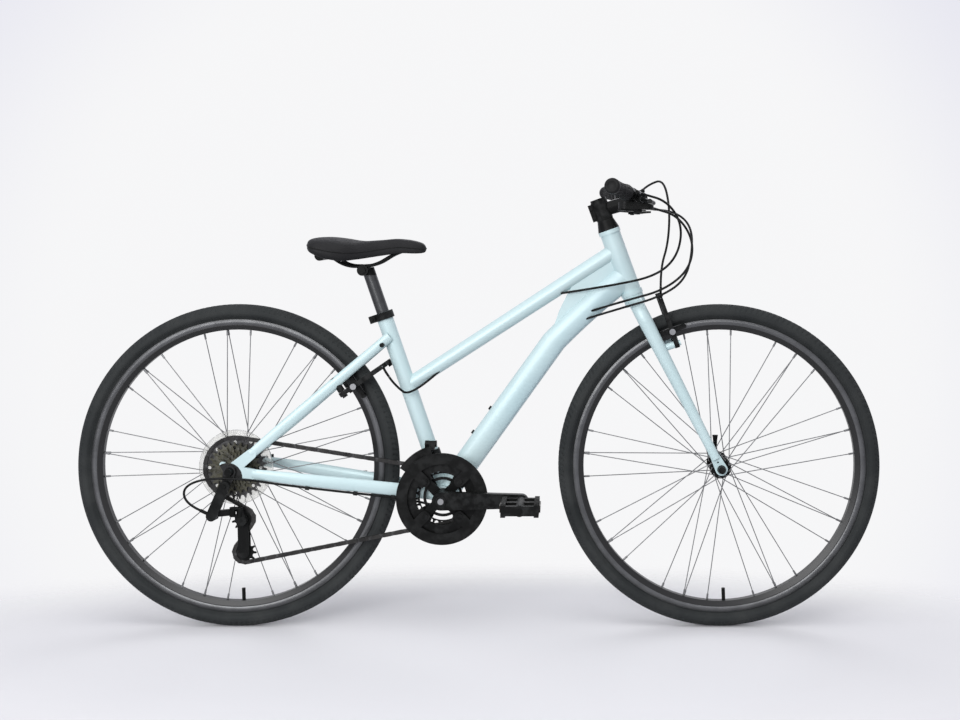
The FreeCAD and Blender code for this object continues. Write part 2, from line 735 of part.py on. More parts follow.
seat_stay_top = seat_at(SEAT_STAY_UP) + LEFT * SEAT_STAY_TOP_OFFSET
seat_stay_end = REAR + V(SEAT_STAY_END_RUN, STAY_END_OFFSET, SEAT_STAY_END_RISE)
stay_run = V(seat_stay_top.x - seat_stay_end.x, 0, seat_stay_top.z - seat_stay_end.z)
seat_points = [seat_stay_top]
for ahead, offset in zip(SEAT_STAY_AHEADS, SEAT_STAY_OFFSETS):
    share = (REAR.x + ahead - seat_stay_end.x) / stay_run.x
    seat_points.append(V(REAR.x + ahead, offset, seat_stay_end.z + stay_run.z * share))
seat_points.append(seat_stay_end)
seat_sections = []
for index, point in enumerate(seat_points):
    before = seat_points[max(index - 1, 0)]
    after = seat_points[min(index + 1, len(seat_points) - 1)]
    last = index == len(seat_points) - 1
    tall = SEAT_STAY_END_HALF_HEIGHT if last else SEAT_STAY_HALF_HEIGHTS[max(index - 1, 0)]
    wide = CHAIN_STAY_END_HALF_W if last else SEAT_STAY_HALF_W
    seat_sections.append(stay_station(point, before - after, wide, tall))
seat_stay_outer, seat_stay_left = hollow(oval, seat_sections, STAY_WALL)
seat_stay_left = seat_stay_left.cut(seat_outer)
seat_stay_left = max(seat_stay_left.Solids, key=lambda solid: solid.Volume)

drop_depth = LEFT * DROPOUT_THICK
drop_at = axle_left
eyelet_at = drop_at + V(-EYELET_BACK, 0, EYELET_UP)
drop_chain = stadium(drop_at, V(stay_end.x, drop_at.y, stay_end.z), DROPOUT_R, DROPOUT_STAY_R, drop_depth)
drop_seat = stadium(drop_at, V(seat_stay_end.x, drop_at.y, seat_stay_end.z), DROPOUT_R, DROPOUT_STAY_R,
                    drop_depth)
drop_eyelet = stadium(drop_at, eyelet_at, DROPOUT_R, EYELET_R, drop_depth)
over = LEFT * CUT_OVERRUN
dropout_left = drop_chain.fuse(drop_seat).fuse(drop_eyelet).removeSplitter()
dropout_left = dropout_left.cut(rod(drop_at - over, drop_at + drop_depth + over, AXLE_R + SEAT_GAP))
dropout_left = dropout_left.cut(rod(eyelet_at - over, eyelet_at + drop_depth + over, EYELET_BORE_R))
dropout_left = dropout_left.cut(chain_stay_outer).cut(seat_stay_outer)
dropout_left = max(dropout_left.Solids, key=lambda solid: solid.Volume)

hanger_top = V(drop_at.x, -drop_at.y - DROPOUT_THICK, drop_at.z)
hanger_eye = hanger_top + V(-HANGER_BACK, 0, -HANGER_DOWN)
hanger = stadium(hanger_top, hanger_eye, DROPOUT_R, HANGER_R, RIGHT * HANGER_THICK)
hanger = hanger.cut(rod(hanger_top, hanger_top + RIGHT * HANGER_THICK, AXLE_R + SEAT_GAP))
hanger = hanger.cut(rod(hanger_eye, hanger_eye + RIGHT * HANGER_THICK, MECH_BOLT_R))

save("head_tube", head_tube)
save("top_tube", top_tube)
save("down_tube", down_tube, web)
save("seat_tube", seat_tube)
save("bottom_bracket_shell", shell_solid)
save("chain_stays", chain_stay_left, mirrored(chain_stay_left))
save("seat_stays", seat_stay_left, mirrored(seat_stay_left))
save("rear_dropouts", dropout_left, mirrored(dropout_left), hanger)

# Headset, bottom bracket and their seats

cup_low_end = steer_at(HEAD_TUBE_LOW - CUP_FLANGE_HEIGHT)
cup_high_end = head_high + HEAD_UP * CUP_FLANGE_HEIGHT
bearing_r = STEERER_R + RUN_FIT
insert_r = HEAD_CUP_R - SEAT_GAP
cup_low = tube(cup_low_end, head_low, CUP_FLANGE_R, bearing_r)
cup_low = cup_low.fuse(tube(head_low, head_low + HEAD_UP * CUP_DEPTH, insert_r,
                            bearing_r)).removeSplitter()
cup_high = tube(head_high, cup_high_end, CUP_FLANGE_R, bearing_r)
cup_high = cup_high.fuse(tube(head_high - HEAD_UP * CUP_DEPTH, head_high, insert_r,
                              bearing_r)).removeSplitter()
bracket_end = LEFT * (SHELL_HALF_W + BRACKET_LIP)
bracket = tube(BB - bracket_end, BB + bracket_end, SHELL_BORE_R - SEAT_GAP, SPINDLE_R + RUN_FIT)
save("bearing_cups", cup_low, cup_high, bracket)

# Fork

crown_top = steer_at(HEAD_TUBE_LOW - CUP_FLANGE_HEIGHT - BODY_GAP)
crown_low = crown_top - HEAD_UP * CROWN_HEIGHT
steerer_top = cup_high_end + HEAD_UP * (CONE_HEIGHT + BODY_GAP + STEM_CLAMP_HEIGHT)
crown = rod(crown_low, crown_top, CROWN_R)
steerer = crown.fuse(rod(crown_low, steerer_top, STEERER_R)).removeSplitter()
steerer = steerer.cut(rod(crown_low, steerer_top + HEAD_UP * CUT_OVERRUN, STEERER_R - STEERER_WALL))
leg_root = (crown_low + crown_top) * 0.5
leg_run = unit(FRONT - leg_root)
leg_fore = unit(leg_run.cross(LEFT)) * -1
leg_length = (FRONT - leg_root).Length


def leg_station(offset, drop, lean, half_fore, half_side):
    """A fork leg section; lean turns its run from sideways (0) to straight down the leg (90)."""
    turn = math.radians(lean)
    along = LEFT * math.cos(turn) + leg_run * math.sin(turn)
    centre = leg_root + LEFT * offset + leg_run * drop
    return (centre, leg_fore, along.cross(leg_fore), half_fore, half_side)


leg_top = leg_station(LEG_TOP_OFFSET, LEG_TOP_DROP, 90, *LEG_TOP_HALF)
shoulder_outer, shoulder = hollow(oval, [
    leg_station(0, 0, 0, LEG_TOP_HALF[0], LEG_ROOT_HALF),
    leg_station(LEG_TOP_OFFSET - LEG_SHOULDER, LEG_SHOULDER_DROP, LEG_SHOULDER_LEAN, *LEG_TOP_HALF),
    leg_top], TUBE_WALL)
blade_outer, blade = hollow(oval, [
    leg_top, leg_station(LEG_LOW_OFFSET, leg_length - LEG_END_UP, 90, *LEG_LOW_HALF)], TUBE_WALL)
leg_outer = shoulder_outer.fuse(blade_outer).removeSplitter()
leg_left = shoulder.fuse(blade).removeSplitter()
leg_left = leg_left.cut(crown)
leg_left = max(leg_left.Solids, key=lambda solid: solid.Volume)
tip_at = FRONT + LEFT * FRONT_HUB_HALF
tip_depth = LEFT * FORK_TIP_THICK
tip_root = tip_at - leg_run * (LEG_END_UP + FORK_TIP_OVERLAP)
fork_eyelet = tip_at - leg_run * FORK_EYELET_UP
fork_tip = stadium(tip_at, tip_root, FORK_TIP_R, LEG_LOW_HALF[0], tip_depth)
fork_tip = fork_tip.cut(rod(tip_at - over, tip_at + tip_depth + over, AXLE_R + SEAT_GAP))
fork_tip = fork_tip.cut(rod(fork_eyelet - over, fork_eyelet + tip_depth + over, EYELET_BORE_R))
fork_tip = fork_tip.cut(leg_outer)
fork_tip = max(fork_tip.Solids, key=lambda solid: solid.Volume)
save("fork_steerer", steerer)

# Stem, headset cone and bar

cone_low = cup_high_end + HEAD_UP * BODY_GAP
cone_high = cone_low + HEAD_UP * CONE_HEIGHT
steer_bore = rod(cup_high_end, steerer_top + HEAD_UP * CUT_OVERRUN, STEERER_R + SEAT_GAP)
head_cone = taper(cone_low, cone_high, CUP_FLANGE_R, CONE_TOP_R).cut(steer_bore)
bar_centre = V(BAR_AHEAD, 0, BAR_Z)
stem_mid = cone_high + HEAD_UP * (STEM_CLAMP_HEIGHT / 2)
arm_run = unit(bar_centre - stem_mid)
arm_up = arm_run.cross(LEFT)
clamp = rod(cone_high, steerer_top, STEM_CLAMP_R)
stem_arm = loft([oval(stem_mid, LEFT, arm_up, STEM_ARM_HALF[0], STEM_ARM_HALF[1]),
                 oval(bar_centre, LEFT, arm_up, STEM_ARM_HALF[0], STEM_ARM_HALF[1])], True)
bar_seat = rod(bar_centre + RIGHT * FACE_HALF_W, bar_centre + LEFT * FACE_HALF_W, FACE_R)
lug_corner = V(-STEM_LUG[0], -STEM_LUG[1] / 2, STEM_LUG_TRIM)
lug = Part.makeBox(STEM_LUG[0], STEM_LUG[1], STEM_CLAMP_HEIGHT - STEM_LUG_TRIM * 2, lug_corner)
lug.Placement = FreeCAD.Placement(cone_high, FreeCAD.Rotation(UP, HEAD_UP))
stem_body = clamp.fuse(stem_arm).fuse(bar_seat).fuse(lug).removeSplitter()
bar_bore = rod(bar_centre + RIGHT * BAR_CLAMP_HALF, bar_centre + LEFT * BAR_CLAMP_HALF,
               BAR_CLAMP_R + SEAT_GAP)
stem_body = stem_body.cut(steer_bore).cut(bar_bore)
front_half = Part.makeBox(FACE_R * 2, FACE_HALF_W * 4, FACE_R * 4, V(0, -FACE_HALF_W * 2, -FACE_R * 2))
front_half.Placement = FreeCAD.Placement(bar_centre, FreeCAD.Rotation(AHEAD, arm_run))
face_plate = stem_body.common(front_half)
stem_body = stem_body.cut(front_half)
front_half.translate(arm_run * STEM_SPLIT)
face_plate = face_plate.common(front_half)
stem_bolts = []
for side in (-1, 1):
    for rise in (-1, 1):
        middle = bar_centre + LEFT * (side * FACE_BOLT_SIDE) + arm_up * (rise * FACE_BOLT_UP)
        tip = middle + arm_run * FACE_BOLT_OUT
        bolt = rod(middle - arm_run * FACE_BOLT_OUT, tip, FACE_BOLT_R)
        stem_bolts.append(bolt.fuse(rod(tip, tip + arm_run * FACE_BOLT_HEAD,
                                        STEM_BOLT_R)).removeSplitter())
for rise in (STEM_CLAMP_HEIGHT / 4, STEM_CLAMP_HEIGHT * 3 / 4):
    middle = cone_high + HEAD_UP * rise + HEAD_UP.cross(LEFT) * (STEM_LUG[0] - STEM_BOLT_R)
    bolt = rod(middle + LEFT * (STEM_LUG[1] / 2), middle + RIGHT * (STEM_LUG[1] / 2), FACE_BOLT_R)
    head_start = middle + RIGHT * (STEM_LUG[1] / 2)
    stem_bolts.append(bolt.fuse(rod(head_start, head_start + RIGHT * FACE_BOLT_HEAD,
                                    STEM_BOLT_R)).removeSplitter())
for bolt in stem_bolts:
    stem_body = stem_body.cut(bolt)
    face_plate = face_plate.cut(bolt)
top_cap = rod(steerer_top, steerer_top + HEAD_UP * STEM_CAP_HEIGHT, CONE_TOP_R)
save("stem", head_cone, stem_body, face_plate, top_cap, *stem_bolts)

# Handlebar, with a frame of reference that follows its left grip

grip_end = V(GRIP_END_AHEAD, GRIP_END_OFFSET, GRIP_END_Z)
bar_knee = V(BAR_AHEAD, BAR_STRAIGHT_HALF, BAR_Z)
bar_out = unit(grip_end - bar_knee)
bar_up = unit(UP - bar_out * UP.dot(bar_out))
bar_fore = bar_out.cross(bar_up)


def mirror_point(point):
    return V(point.x, -point.y, point.z)


def on_bar(ahead, inward, up):
    return grip_end + bar_fore * ahead - bar_out * inward + bar_up * up


bar_start = on_bar(0, GRIP_CAP_T, 0)
bar_points = [bar_start, bar_knee, mirror_point(bar_knee), mirror_point(bar_start)]
bar = bent_rod(bar_points, BAR_R, BAR_BEND_R)
bar = bar.fuse(rod(bar_centre + RIGHT * BAR_CLAMP_HALF, bar_centre + LEFT * BAR_CLAMP_HALF, BAR_CLAMP_R))
bar = bar.cut(bent_rod(bar_points, BAR_R - TUBE_WALL, BAR_BEND_R))
save("handlebar", bar.removeSplitter())

grip_bore_r = BAR_R + SEAT_GAP
grip_left = turned(grip_end, bar_out * -1, bar_up, [
    (0, 0), (0, GRIP_END_R), (GRIP_CAP_T, GRIP_R), (GRIP_LENGTH / 2, GRIP_WAIST_R),
    (GRIP_LENGTH - GRIP_FLANGE_W * 2, GRIP_R), (GRIP_LENGTH - GRIP_FLANGE_W, GRIP_FLANGE_R),
    (GRIP_LENGTH, GRIP_FLANGE_R), (GRIP_LENGTH, grip_bore_r), (GRIP_CAP_T, grip_bore_r), (GRIP_CAP_T, 0)])
save("grips", grip_left, mirrored(grip_left))

# Brake levers in their perches

tilt = math.radians(LEVER_TILT)
lever_fore = bar_fore * math.cos(tilt) - bar_up * math.sin(tilt)
lever_up = bar_up * math.cos(tilt) + bar_fore * math.sin(tilt)


def on_lever(ahead, inward, up=0):
    return grip_end + lever_fore * ahead - bar_out * inward + lever_up * up


lever_pivot = on_lever(LEVER_PIVOT_AHEAD, LEVER_PIVOT_IN)
ear_from = LEVER_HALF_T + PERCH_FORK_GAP
ear_to = ear_from + PERCH_EAR_T
perch_ring = rod(on_bar(0, PERCH_AT - PERCH_HALF_W, 0), on_bar(0, PERCH_AT + PERCH_HALF_W, 0), PERCH_R)
ear_root = on_lever(PERCH_ROOT_AHEAD, PERCH_AT + PERCH_HALF_W)
perch = perch_ring
for low, high in ((ear_from, ear_to), (-ear_to, -ear_from)):
    shift = lever_up * low
    perch = perch.fuse(stadium(ear_root + shift, lever_pivot + shift, PERCH_HALF_W, LEVER_EYE_R,
                               lever_up * (high - low)))
perch_block = stadium(on_lever(0, PERCH_AT, -ear_to), ear_root - lever_up * ear_to, PERCH_HALF_W,
                      PERCH_HALF_W - LEVER_HALF_T, lever_up * (ear_to * 2))
perch = perch.fuse(perch_block)
perch = perch.cut(rod(lever_pivot - lever_up * ear_from, lever_pivot + lever_up * ear_from,
                      LEVER_EYE_R + PERCH_FORK_GAP))
perch = perch.fuse(rod(lever_pivot - lever_up * ear_to, lever_pivot + lever_up * ear_to, LEVER_PIVOT_R))
perch = perch.cut(rod(on_bar(0, 0, 0), on_bar(0, POD_AT, 0), BAR_R + SEAT_GAP)).removeSplitter()
barrel_root = on_lever(BARREL_AHEAD, PERCH_AT, ear_to + BARREL_R - BARREL_SINK)
barrel_end = barrel_root - bar_out * PERCH_BARREL_LENGTH
perch_barrel = rod(barrel_root, barrel_end, BARREL_R).cut(perch)
perch_barrel = max(perch_barrel.Solids, key=lambda solid: solid.Volume)

lever_stations = []
for index, (ahead, inward) in enumerate(LEVER_LINE):
    before = LEVER_LINE[max(index - 1, 0)]
    after = LEVER_LINE[min(index + 1, len(LEVER_LINE) - 1)]
    along = unit(on_lever(*after) - on_lever(*before))
    lever_stations.append(oval(on_lever(ahead, inward), lever_up, lever_up.cross(along), LEVER_HALF_T,
                               LEVER_HALF_W[index]))
lever = loft(lever_stations).fuse(rod(lever_pivot - lever_up * LEVER_HALF_T,
                                      lever_pivot + lever_up * LEVER_HALF_T, LEVER_EYE_R))
lever = lever.cut(rod(lever_pivot - lever_up * ear_to, lever_pivot + lever_up * ear_to,
                      LEVER_PIVOT_R + RUN_FIT)).removeSplitter()
save("left_brake_lever", lever)
save("right_brake_lever", mirrored(lever))

# Shifter pods with a thumb lever and a release trigger on one pin

pod_ring = rod(on_bar(0, POD_AT - POD_RING_HALF, 0), on_bar(0, POD_AT + POD_RING_HALF, 0), PERCH_R)
pod_body = stadium(on_bar(-POD_BACK, POD_AT, -POD_DOWN), on_bar(POD_LENGTH - POD_BACK, POD_AT, -POD_DOWN),
                   POD_HALF_W, POD_NOSE_R, bar_up * -POD_HEIGHT)
pod_low = POD_DOWN + POD_HEIGHT
pin_top = on_bar(THUMB_PIVOT_AHEAD, POD_AT, -pod_low)
thumb_low = pod_low + BODY_GAP + THUMB_T
trigger_low = thumb_low + BODY_GAP + TRIGGER_T
pin_end = on_bar(THUMB_PIVOT_AHEAD, POD_AT, -trigger_low - BODY_GAP)
pod_pin = rod(pin_top, pin_end, TRIGGER_PIN_R).fuse(rod(pin_end, pin_end - bar_up * TRIGGER_CAP_T,
                                                        TRIGGER_CAP_R))
pod = pod_ring.fuse(pod_body).fuse(pod_pin).cut(rod(on_bar(0, PERCH_AT, 0), on_bar(0, POD_AT * 2, 0),
                                                    BAR_R + SEAT_GAP))
pod_barrel_root = on_bar(POD_LENGTH - POD_BACK, POD_AT + POD_NOSE_R - BARREL_R,
                         -POD_DOWN - POD_HEIGHT / 2)
pod_barrel_end = pod_barrel_root - bar_out * PERCH_BARREL_LENGTH
pod = pod.fuse(rod(pod_barrel_root, pod_barrel_end, BARREL_R)).removeSplitter()
pin_bore = rod(pin_top, pin_end, TRIGGER_PIN_R + RUN_FIT)
thumb_root = on_bar(THUMB_PIVOT_AHEAD, POD_AT, -pod_low - BODY_GAP)
thumb_tip = on_bar(THUMB_PIVOT_AHEAD - THUMB_BACK, POD_AT - THUMB_OUT, -pod_low - BODY_GAP)
thumb = stadium(thumb_root, thumb_tip, THUMB_R, THUMB_WIDTH / 2, bar_up * -THUMB_T).cut(pin_bore)
trigger_root = on_bar(THUMB_PIVOT_AHEAD, POD_AT, -thumb_low - BODY_GAP)
trigger_tip = on_bar(THUMB_PIVOT_AHEAD + TRIGGER_LENGTH, POD_AT - TRIGGER_OUT, -thumb_low - BODY_GAP)
trigger = stadium(trigger_root, trigger_tip, THUMB_R, TRIGGER_WIDTH / 2,
                  bar_up * -TRIGGER_T).cut(pin_bore)
for name, solid in (("thumb_lever", thumb), ("release_trigger", trigger)):
    save("left_" + name, solid)
    save("right_" + name, mirrored(solid))
bracket_set = [perch, perch_barrel, pod]
save("control_brackets", *bracket_set, *[mirrored(solid) for solid in bracket_set])

# Wheels


def rim_solid(centre):
    """A double-walled rim with upright brake tracks; points are (y, radius)."""
    lip = RIM_HALF_W - RIM_WALL
    outer = turned(centre, LEFT, AHEAD, [
        (-RIM_BED_HALF_W, RIM_BED_R), (-RIM_HALF_W, RIM_TRACK_LOW_R), (-RIM_HALF_W, RIM_R), (-lip, RIM_R),
        (-lip, RIM_SEAT_R), (-RIM_WELL_HALF, RIM_SEAT_R), (-RIM_WELL_HALF, RIM_SEAT_R - RIM_WELL),
        (RIM_WELL_HALF, RIM_SEAT_R - RIM_WELL), (RIM_WELL_HALF, RIM_SEAT_R), (lip, RIM_SEAT_R),
        (lip, RIM_R), (RIM_HALF_W, RIM_R), (RIM_HALF_W, RIM_TRACK_LOW_R), (RIM_BED_HALF_W, RIM_BED_R)])
    chamber_high = RIM_SEAT_R - RIM_WELL - RIM_WALL
    chamber = turned(centre, LEFT, AHEAD, [
        (-RIM_BED_HALF_W + RIM_WALL / 2, RIM_BED_R + RIM_WALL), (-lip + RIM_WALL / 2, RIM_TRACK_LOW_R),
        (-lip + RIM_WALL / 2, chamber_high), (lip - RIM_WALL / 2, chamber_high),
        (lip - RIM_WALL / 2, RIM_TRACK_LOW_R), (RIM_BED_HALF_W - RIM_WALL / 2, RIM_BED_R + RIM_WALL)])
    return outer.cut(chamber)


def tyre_half(sign, inset):
    """Points of one side of the tyre section, from bead to crown."""
    belly_r = TYRE_R - TYRE_HALF_W
    return [V(sign * (TYRE_BEAD_HALF_W - inset), 0, TYRE_BEAD_R),
            V(sign * (TYRE_BEAD_HALF_W - inset), 0, TYRE_NECK_R),
            V(sign * (TYRE_HALF_W - inset) * TYRE_NECK_SHARE, 0, (TYRE_NECK_R + belly_r) / 2),
            V(sign * (TYRE_HALF_W - inset), 0, belly_r),
            V(sign * (TYRE_HALF_W - inset) * math.sqrt(0.5), 0,
              belly_r + (TYRE_HALF_W - inset) * math.sqrt(0.5)),
            V(0, 0, TYRE_R - inset)]


def tyre_solid(centre):
    """A hollow tyre, open towards the rim."""
    edges = []
    for inset in (0, TYRE_WALL):
        for sign in (-1, 1):
            bead, neck, side, belly, shoulder, crown_point = tyre_half(sign, inset)
            edges.append(Part.LineSegment(bead, neck))
            edges.append(Part.Arc(neck, side, belly))
            edges.append(Part.Arc(belly, shoulder, crown_point))
    for sign in (-1, 1):
        edges.append(Part.LineSegment(tyre_half(sign, 0)[0], tyre_half(sign, TYRE_WALL)[0]))
    section = Part.Wire(Part.__sortEdges__([edge.toShape() for edge in edges]))
    section.Placement = FreeCAD.Placement(centre, FreeCAD.Rotation(UP, 90))
    return Part.Face(section).revolve(centre, LEFT, 360)


def inner_tube(centre, valve_angle):
    """The inflated tube inside the tyre, with its valve through the rim."""
    ring_r = TYRE_R - TYRE_WALL - BODY_GAP - TUBE_SECTION_R
    torus = Part.makeTorus(ring_r, TUBE_SECTION_R, centre, LEFT)
    outward = wheel_point(ORIGIN, 1, math.radians(valve_angle), 0)
    valve = rod(centre + outward * (RIM_BED_R - VALVE_INSIDE), centre + outward * ring_r, VALVE_R)
    return torus.fuse(valve).removeSplitter()


def valve_bore(centre, valve_angle):
    outward = wheel_point(ORIGIN, 1, math.radians(valve_angle), 0)
    return rod(centre + outward * (RIM_BED_R - VALVE_INSIDE), centre + outward * TYRE_R,
               VALVE_R + SEAT_GAP)


def spoke_set(centre, flange_right, flange_left, hole_r):
    """Crossed spokes with their nipples and heads, half of them on each flange."""
    spokes = []
    per_flange = SPOKE_COUNT // 2
    step = 2 * math.pi / per_flange
    twist = step * SPOKE_CROSS
    for side, flange in ((-1, flange_right), (1, flange_left)):
        start = 0 if side < 0 else step / 2
        for index in range(per_flange):
            outside = index % 2
            lead = 1 if outside else -1
            hole = start + index * step
            face = flange + (1 if outside else -1) * side * (FLANGE_THICK / 2 + SPOKE_HEAD_R)
            rim_y = side * SPOKE_RIM_OFFSETS[outside]
            inner = wheel_point(centre, hole_r, hole, face)
            outer = wheel_point(centre, RIM_BED_R, hole + lead * twist + lead * step / 4, rim_y)
            along = unit(outer - inner)
            spoke = rod(inner, outer, SPOKE_R)
            nipple = rod(outer - along * NIPPLE_LENGTH, outer - along * NIPPLE_SINK, NIPPLE_R)
            elbow = Part.makeSphere(SPOKE_HEAD_R, inner)
            spokes.append(spoke.fuse(nipple).fuse(elbow).removeSplitter())
    return spokes


def hub_shell(centre, right_end, left_end, flange_right, flange_left, flange_r, barrel_r):
    """A hub with two spoke flanges, running on its axle."""
    half = FLANGE_THICK / 2
    bore_r = AXLE_R + RUN_FIT
    return turned(centre, LEFT, AHEAD, [
        (right_end, bore_r), (right_end, barrel_r), (flange_right - half, barrel_r),
        (flange_right - half, flange_r), (flange_right + half, flange_r), (flange_right + half, barrel_r),
        ((flange_right + flange_left) / 2, barrel_r * HUB_WAIST_SHARE), (flange_left - half, barrel_r),
        (flange_left - half, flange_r), (flange_left + half, flange_r), (flange_left + half, barrel_r),
        (left_end, barrel_r), (left_end, bore_r)])


def axle_set(centre, half, outer_right, outer_left, hub_right, hub_left):
    """An axle with its cones, its skewer, the skewer's nut and the cam's seat."""
    axle_left_end = half + DROPOUT_THICK - AXLE_SHORT
    axle = tube(centre + RIGHT * axle_left_end, centre + LEFT * axle_left_end, AXLE_R, SKEWER_R + RUN_FIT)
    left_cone = tube(centre + LEFT * (hub_left + BODY_GAP), centre + LEFT * half, CONE_R,
                     SKEWER_R + RUN_FIT)
    right_cone = tube(centre + RIGHT * (hub_right + BODY_GAP), centre + RIGHT * half, CONE_R,
                      SKEWER_R + RUN_FIT)
    axle = axle.fuse(left_cone).fuse(right_cone).removeSplitter()
    nut_from = centre + RIGHT * outer_right
    seat_from = centre + LEFT * outer_left
    pin_y = outer_left + QR_CAM_LENGTH + BODY_GAP + QR_EYE_R
    pin_middle = centre + LEFT * pin_y
    skewer = rod(nut_from + RIGHT * QR_NUT_LENGTH, pin_middle, SKEWER_R)
    nut = taper(nut_from, nut_from + RIGHT * QR_NUT_LENGTH, QR_NUT_R, QR_NUT_R - QR_NUT_TAPER)
    seat = rod(seat_from, seat_from + LEFT * QR_CAM_LENGTH, QR_CAM_R)
    seat = seat.cut(rod(centre, pin_middle, SKEWER_R + RUN_FIT))
    return axle, skewer.fuse(nut).removeSplitter(), seat, pin_middle


def quick_release(pin_middle, away):
    """The skewer's cross pin and the lever that folds about it, pointing along away when closed."""
    across = unit(LEFT.cross(away))
    pin = rod(pin_middle - across * QR_PIN_HALF, pin_middle + across * QR_PIN_HALF, QR_PIN_R)
    bore = rod(pin_middle - across * (QR_PIN_HALF * 2), pin_middle + across * (QR_PIN_HALF * 2),
               QR_PIN_R + RUN_FIT)
    eyes = rod(pin_middle + across * QR_EYE_GAP, pin_middle + across * QR_PIN_HALF, QR_EYE_R)
    eyes = eyes.fuse(rod(pin_middle - across * QR_EYE_GAP, pin_middle - across * QR_PIN_HALF, QR_EYE_R))
    root = QR_EYE_R + BODY_GAP
    blade = loft([
        oval(pin_middle + away * QR_PIN_R, across, LEFT, QR_PIN_HALF, QR_LEVER_HALF_T),
        oval(pin_middle + away * (QR_LEVER_LENGTH / 2), across, LEFT, QR_LEVER_ROOT_W / 2,
             QR_LEVER_HALF_T),
        oval(pin_middle + away * QR_LEVER_LENGTH, across, LEFT, QR_LEVER_TIP_W / 2, QR_LEVER_HALF_T)])
    slot = rod(pin_middle - across * QR_EYE_GAP, pin_middle + across * QR_EYE_GAP, root)
    return pin, eyes.fuse(blade).cut(slot).cut(bore).removeSplitter()


WHEELS = {
    "front": (FRONT, -FRONT_FLANGE_AT, FRONT_FLANGE_AT, FRONT_SPOKE_R, FRONT_FLANGE_R, FRONT_BARREL_R,
              -FRONT_HUB_END, FRONT_HUB_END, FRONT_HUB_HALF, FORK_TIP_THICK, FORK_TIP_THICK, UP),
    "rear": (REAR, REAR_FLANGE_RIGHT, REAR_FLANGE_LEFT, REAR_SPOKE_R, REAR_FLANGE_R, REAR_BARREL_R,
             REAR_HUB_RIGHT, REAR_HUB_LEFT, REAR_HUB_HALF, DROPOUT_THICK + HANGER_THICK,
             DROPOUT_THICK, AHEAD)}
for place, wheel in WHEELS.items():
    centre, right_flange, left_flange, hole_r, flange_r, barrel_r, right_end, left_end = wheel[:8]
    hub_half, right_plates, left_plates, lever_way = wheel[8:]
    spokes = spoke_set(centre, right_flange, left_flange, hole_r)
    save(place + "_rim", rim_solid(centre).cut(valve_bore(centre, VALVE_ANGLE)))
    save(place + "_tyre", tyre_solid(centre))
    save(place + "_inner_tube", inner_tube(centre, VALVE_ANGLE))
    save(place + "_spokes", *spokes)
    save(place + "_hub", hub_shell(centre, right_end, left_end, right_flange, left_flange, flange_r,
                                   barrel_r))
    cone_right = -FREEWHEEL_HIGH_Y if place == "rear" else -right_end
    axle, skewer, cam_seat, cross_pin = axle_set(
        centre, hub_half, hub_half + right_plates, hub_half + left_plates, cone_right, left_end)
    lever_pin, lever_blade = quick_release(cross_pin, lever_way)
    save(place + "_axle", axle, skewer.fuse(lever_pin).removeSplitter(), cam_seat)
    save(place + "_quick_release_lever", lever_blade)

# Chain line: chainring, sprocket, guide pulley and tension pulley, and the path that wraps them


def flat_angle(vector):
    return math.atan2(vector.z, vector.x)


def flat_point(centre, radius, angle):
    return V(centre.x + radius * math.cos(angle), 0, centre.z + radius * math.sin(angle))


def tangent(first, second):
    """Where a belt leaves one wheel and meets the next; a wheel is (centre, radius, turn)."""
    run = second[0] - first[0]
    base = flat_angle(run)
    swing = math.acos((first[1] * first[2] - second[1] * second[2]) / run.Length)
    angle = base - swing
    leave = flat_point(first[0], first[1] * first[2], angle)
    meet = flat_point(second[0], second[1] * second[2], angle)
    return leave, meet


def belt_path(wheels):
    """Pieces of the closed path: (length, kind, data), a straight run after each wheel's arc."""
    count = len(wheels)
    runs = [tangent(wheels[index], wheels[(index + 1) % count]) for index in range(count)]
    pieces = []
    for index, (centre, radius, turn) in enumerate(wheels):
        enter = runs[index - 1][1]
        leave = runs[index][0]
        start = flat_angle(enter - centre)
        sweep = (flat_angle(leave - centre) - start) * turn % (2 * math.pi)
        pieces.append((radius * sweep, index, (centre, radius, start, turn)))
        pieces.append(((runs[index][1] - leave).Length, index, (leave, runs[index][1])))
    return pieces


def belt_point(pieces, total, distance):
    """The place at a distance along the path, with its wheel and its share of the straight run."""
    rest = distance % total
    for number, (length, index, data) in enumerate(pieces):
        if rest <= length or number == len(pieces) - 1:
            if len(data) == 4:
                centre, radius, start, turn = data
                return flat_point(centre, radius, start + turn * rest / radius), index, 0
            share = rest / length
            return data[0] + (data[1] - data[0]) * share, index, share
        rest -= length


def belt_steps(pieces, count):
    """Pins one pitch apart along the path, and how far past its start the last one lands."""
    total = sum(piece[0] for piece in pieces)
    distances = [0]
    for _ in range(count):
        here = belt_point(pieces, total, distances[-1])[0]
        low = distances[-1] + CHAIN_PITCH
        high = low + CHAIN_PITCH * PITCH_SLACK_SHARE
        for _ in range(SOLVE_STEPS):
            middle = (low + high) / 2
            if (belt_point(pieces, total, middle)[0] - here).Length < CHAIN_PITCH:
                low = middle
            else:
                high = middle
        distances.append((low + high) / 2)
    return distances, distances[-1] - total


guide_centre = V(REAR.x + GUIDE_AHEAD, 0, REAR.z - GUIDE_DOWN)


def chain_wheels(cage_angle):
    tension = flat_point(guide_centre, CAGE_LENGTH, math.radians(cage_angle))
    return [(BB, pitch_radius(RING_TEETH[0]), 1), (REAR, pitch_radius(SPROCKET_TEETH[0]), 1),
            (guide_centre, pitch_radius(PULLEY_TEETH), -1), (tension, pitch_radius(PULLEY_TEETH), 1)]


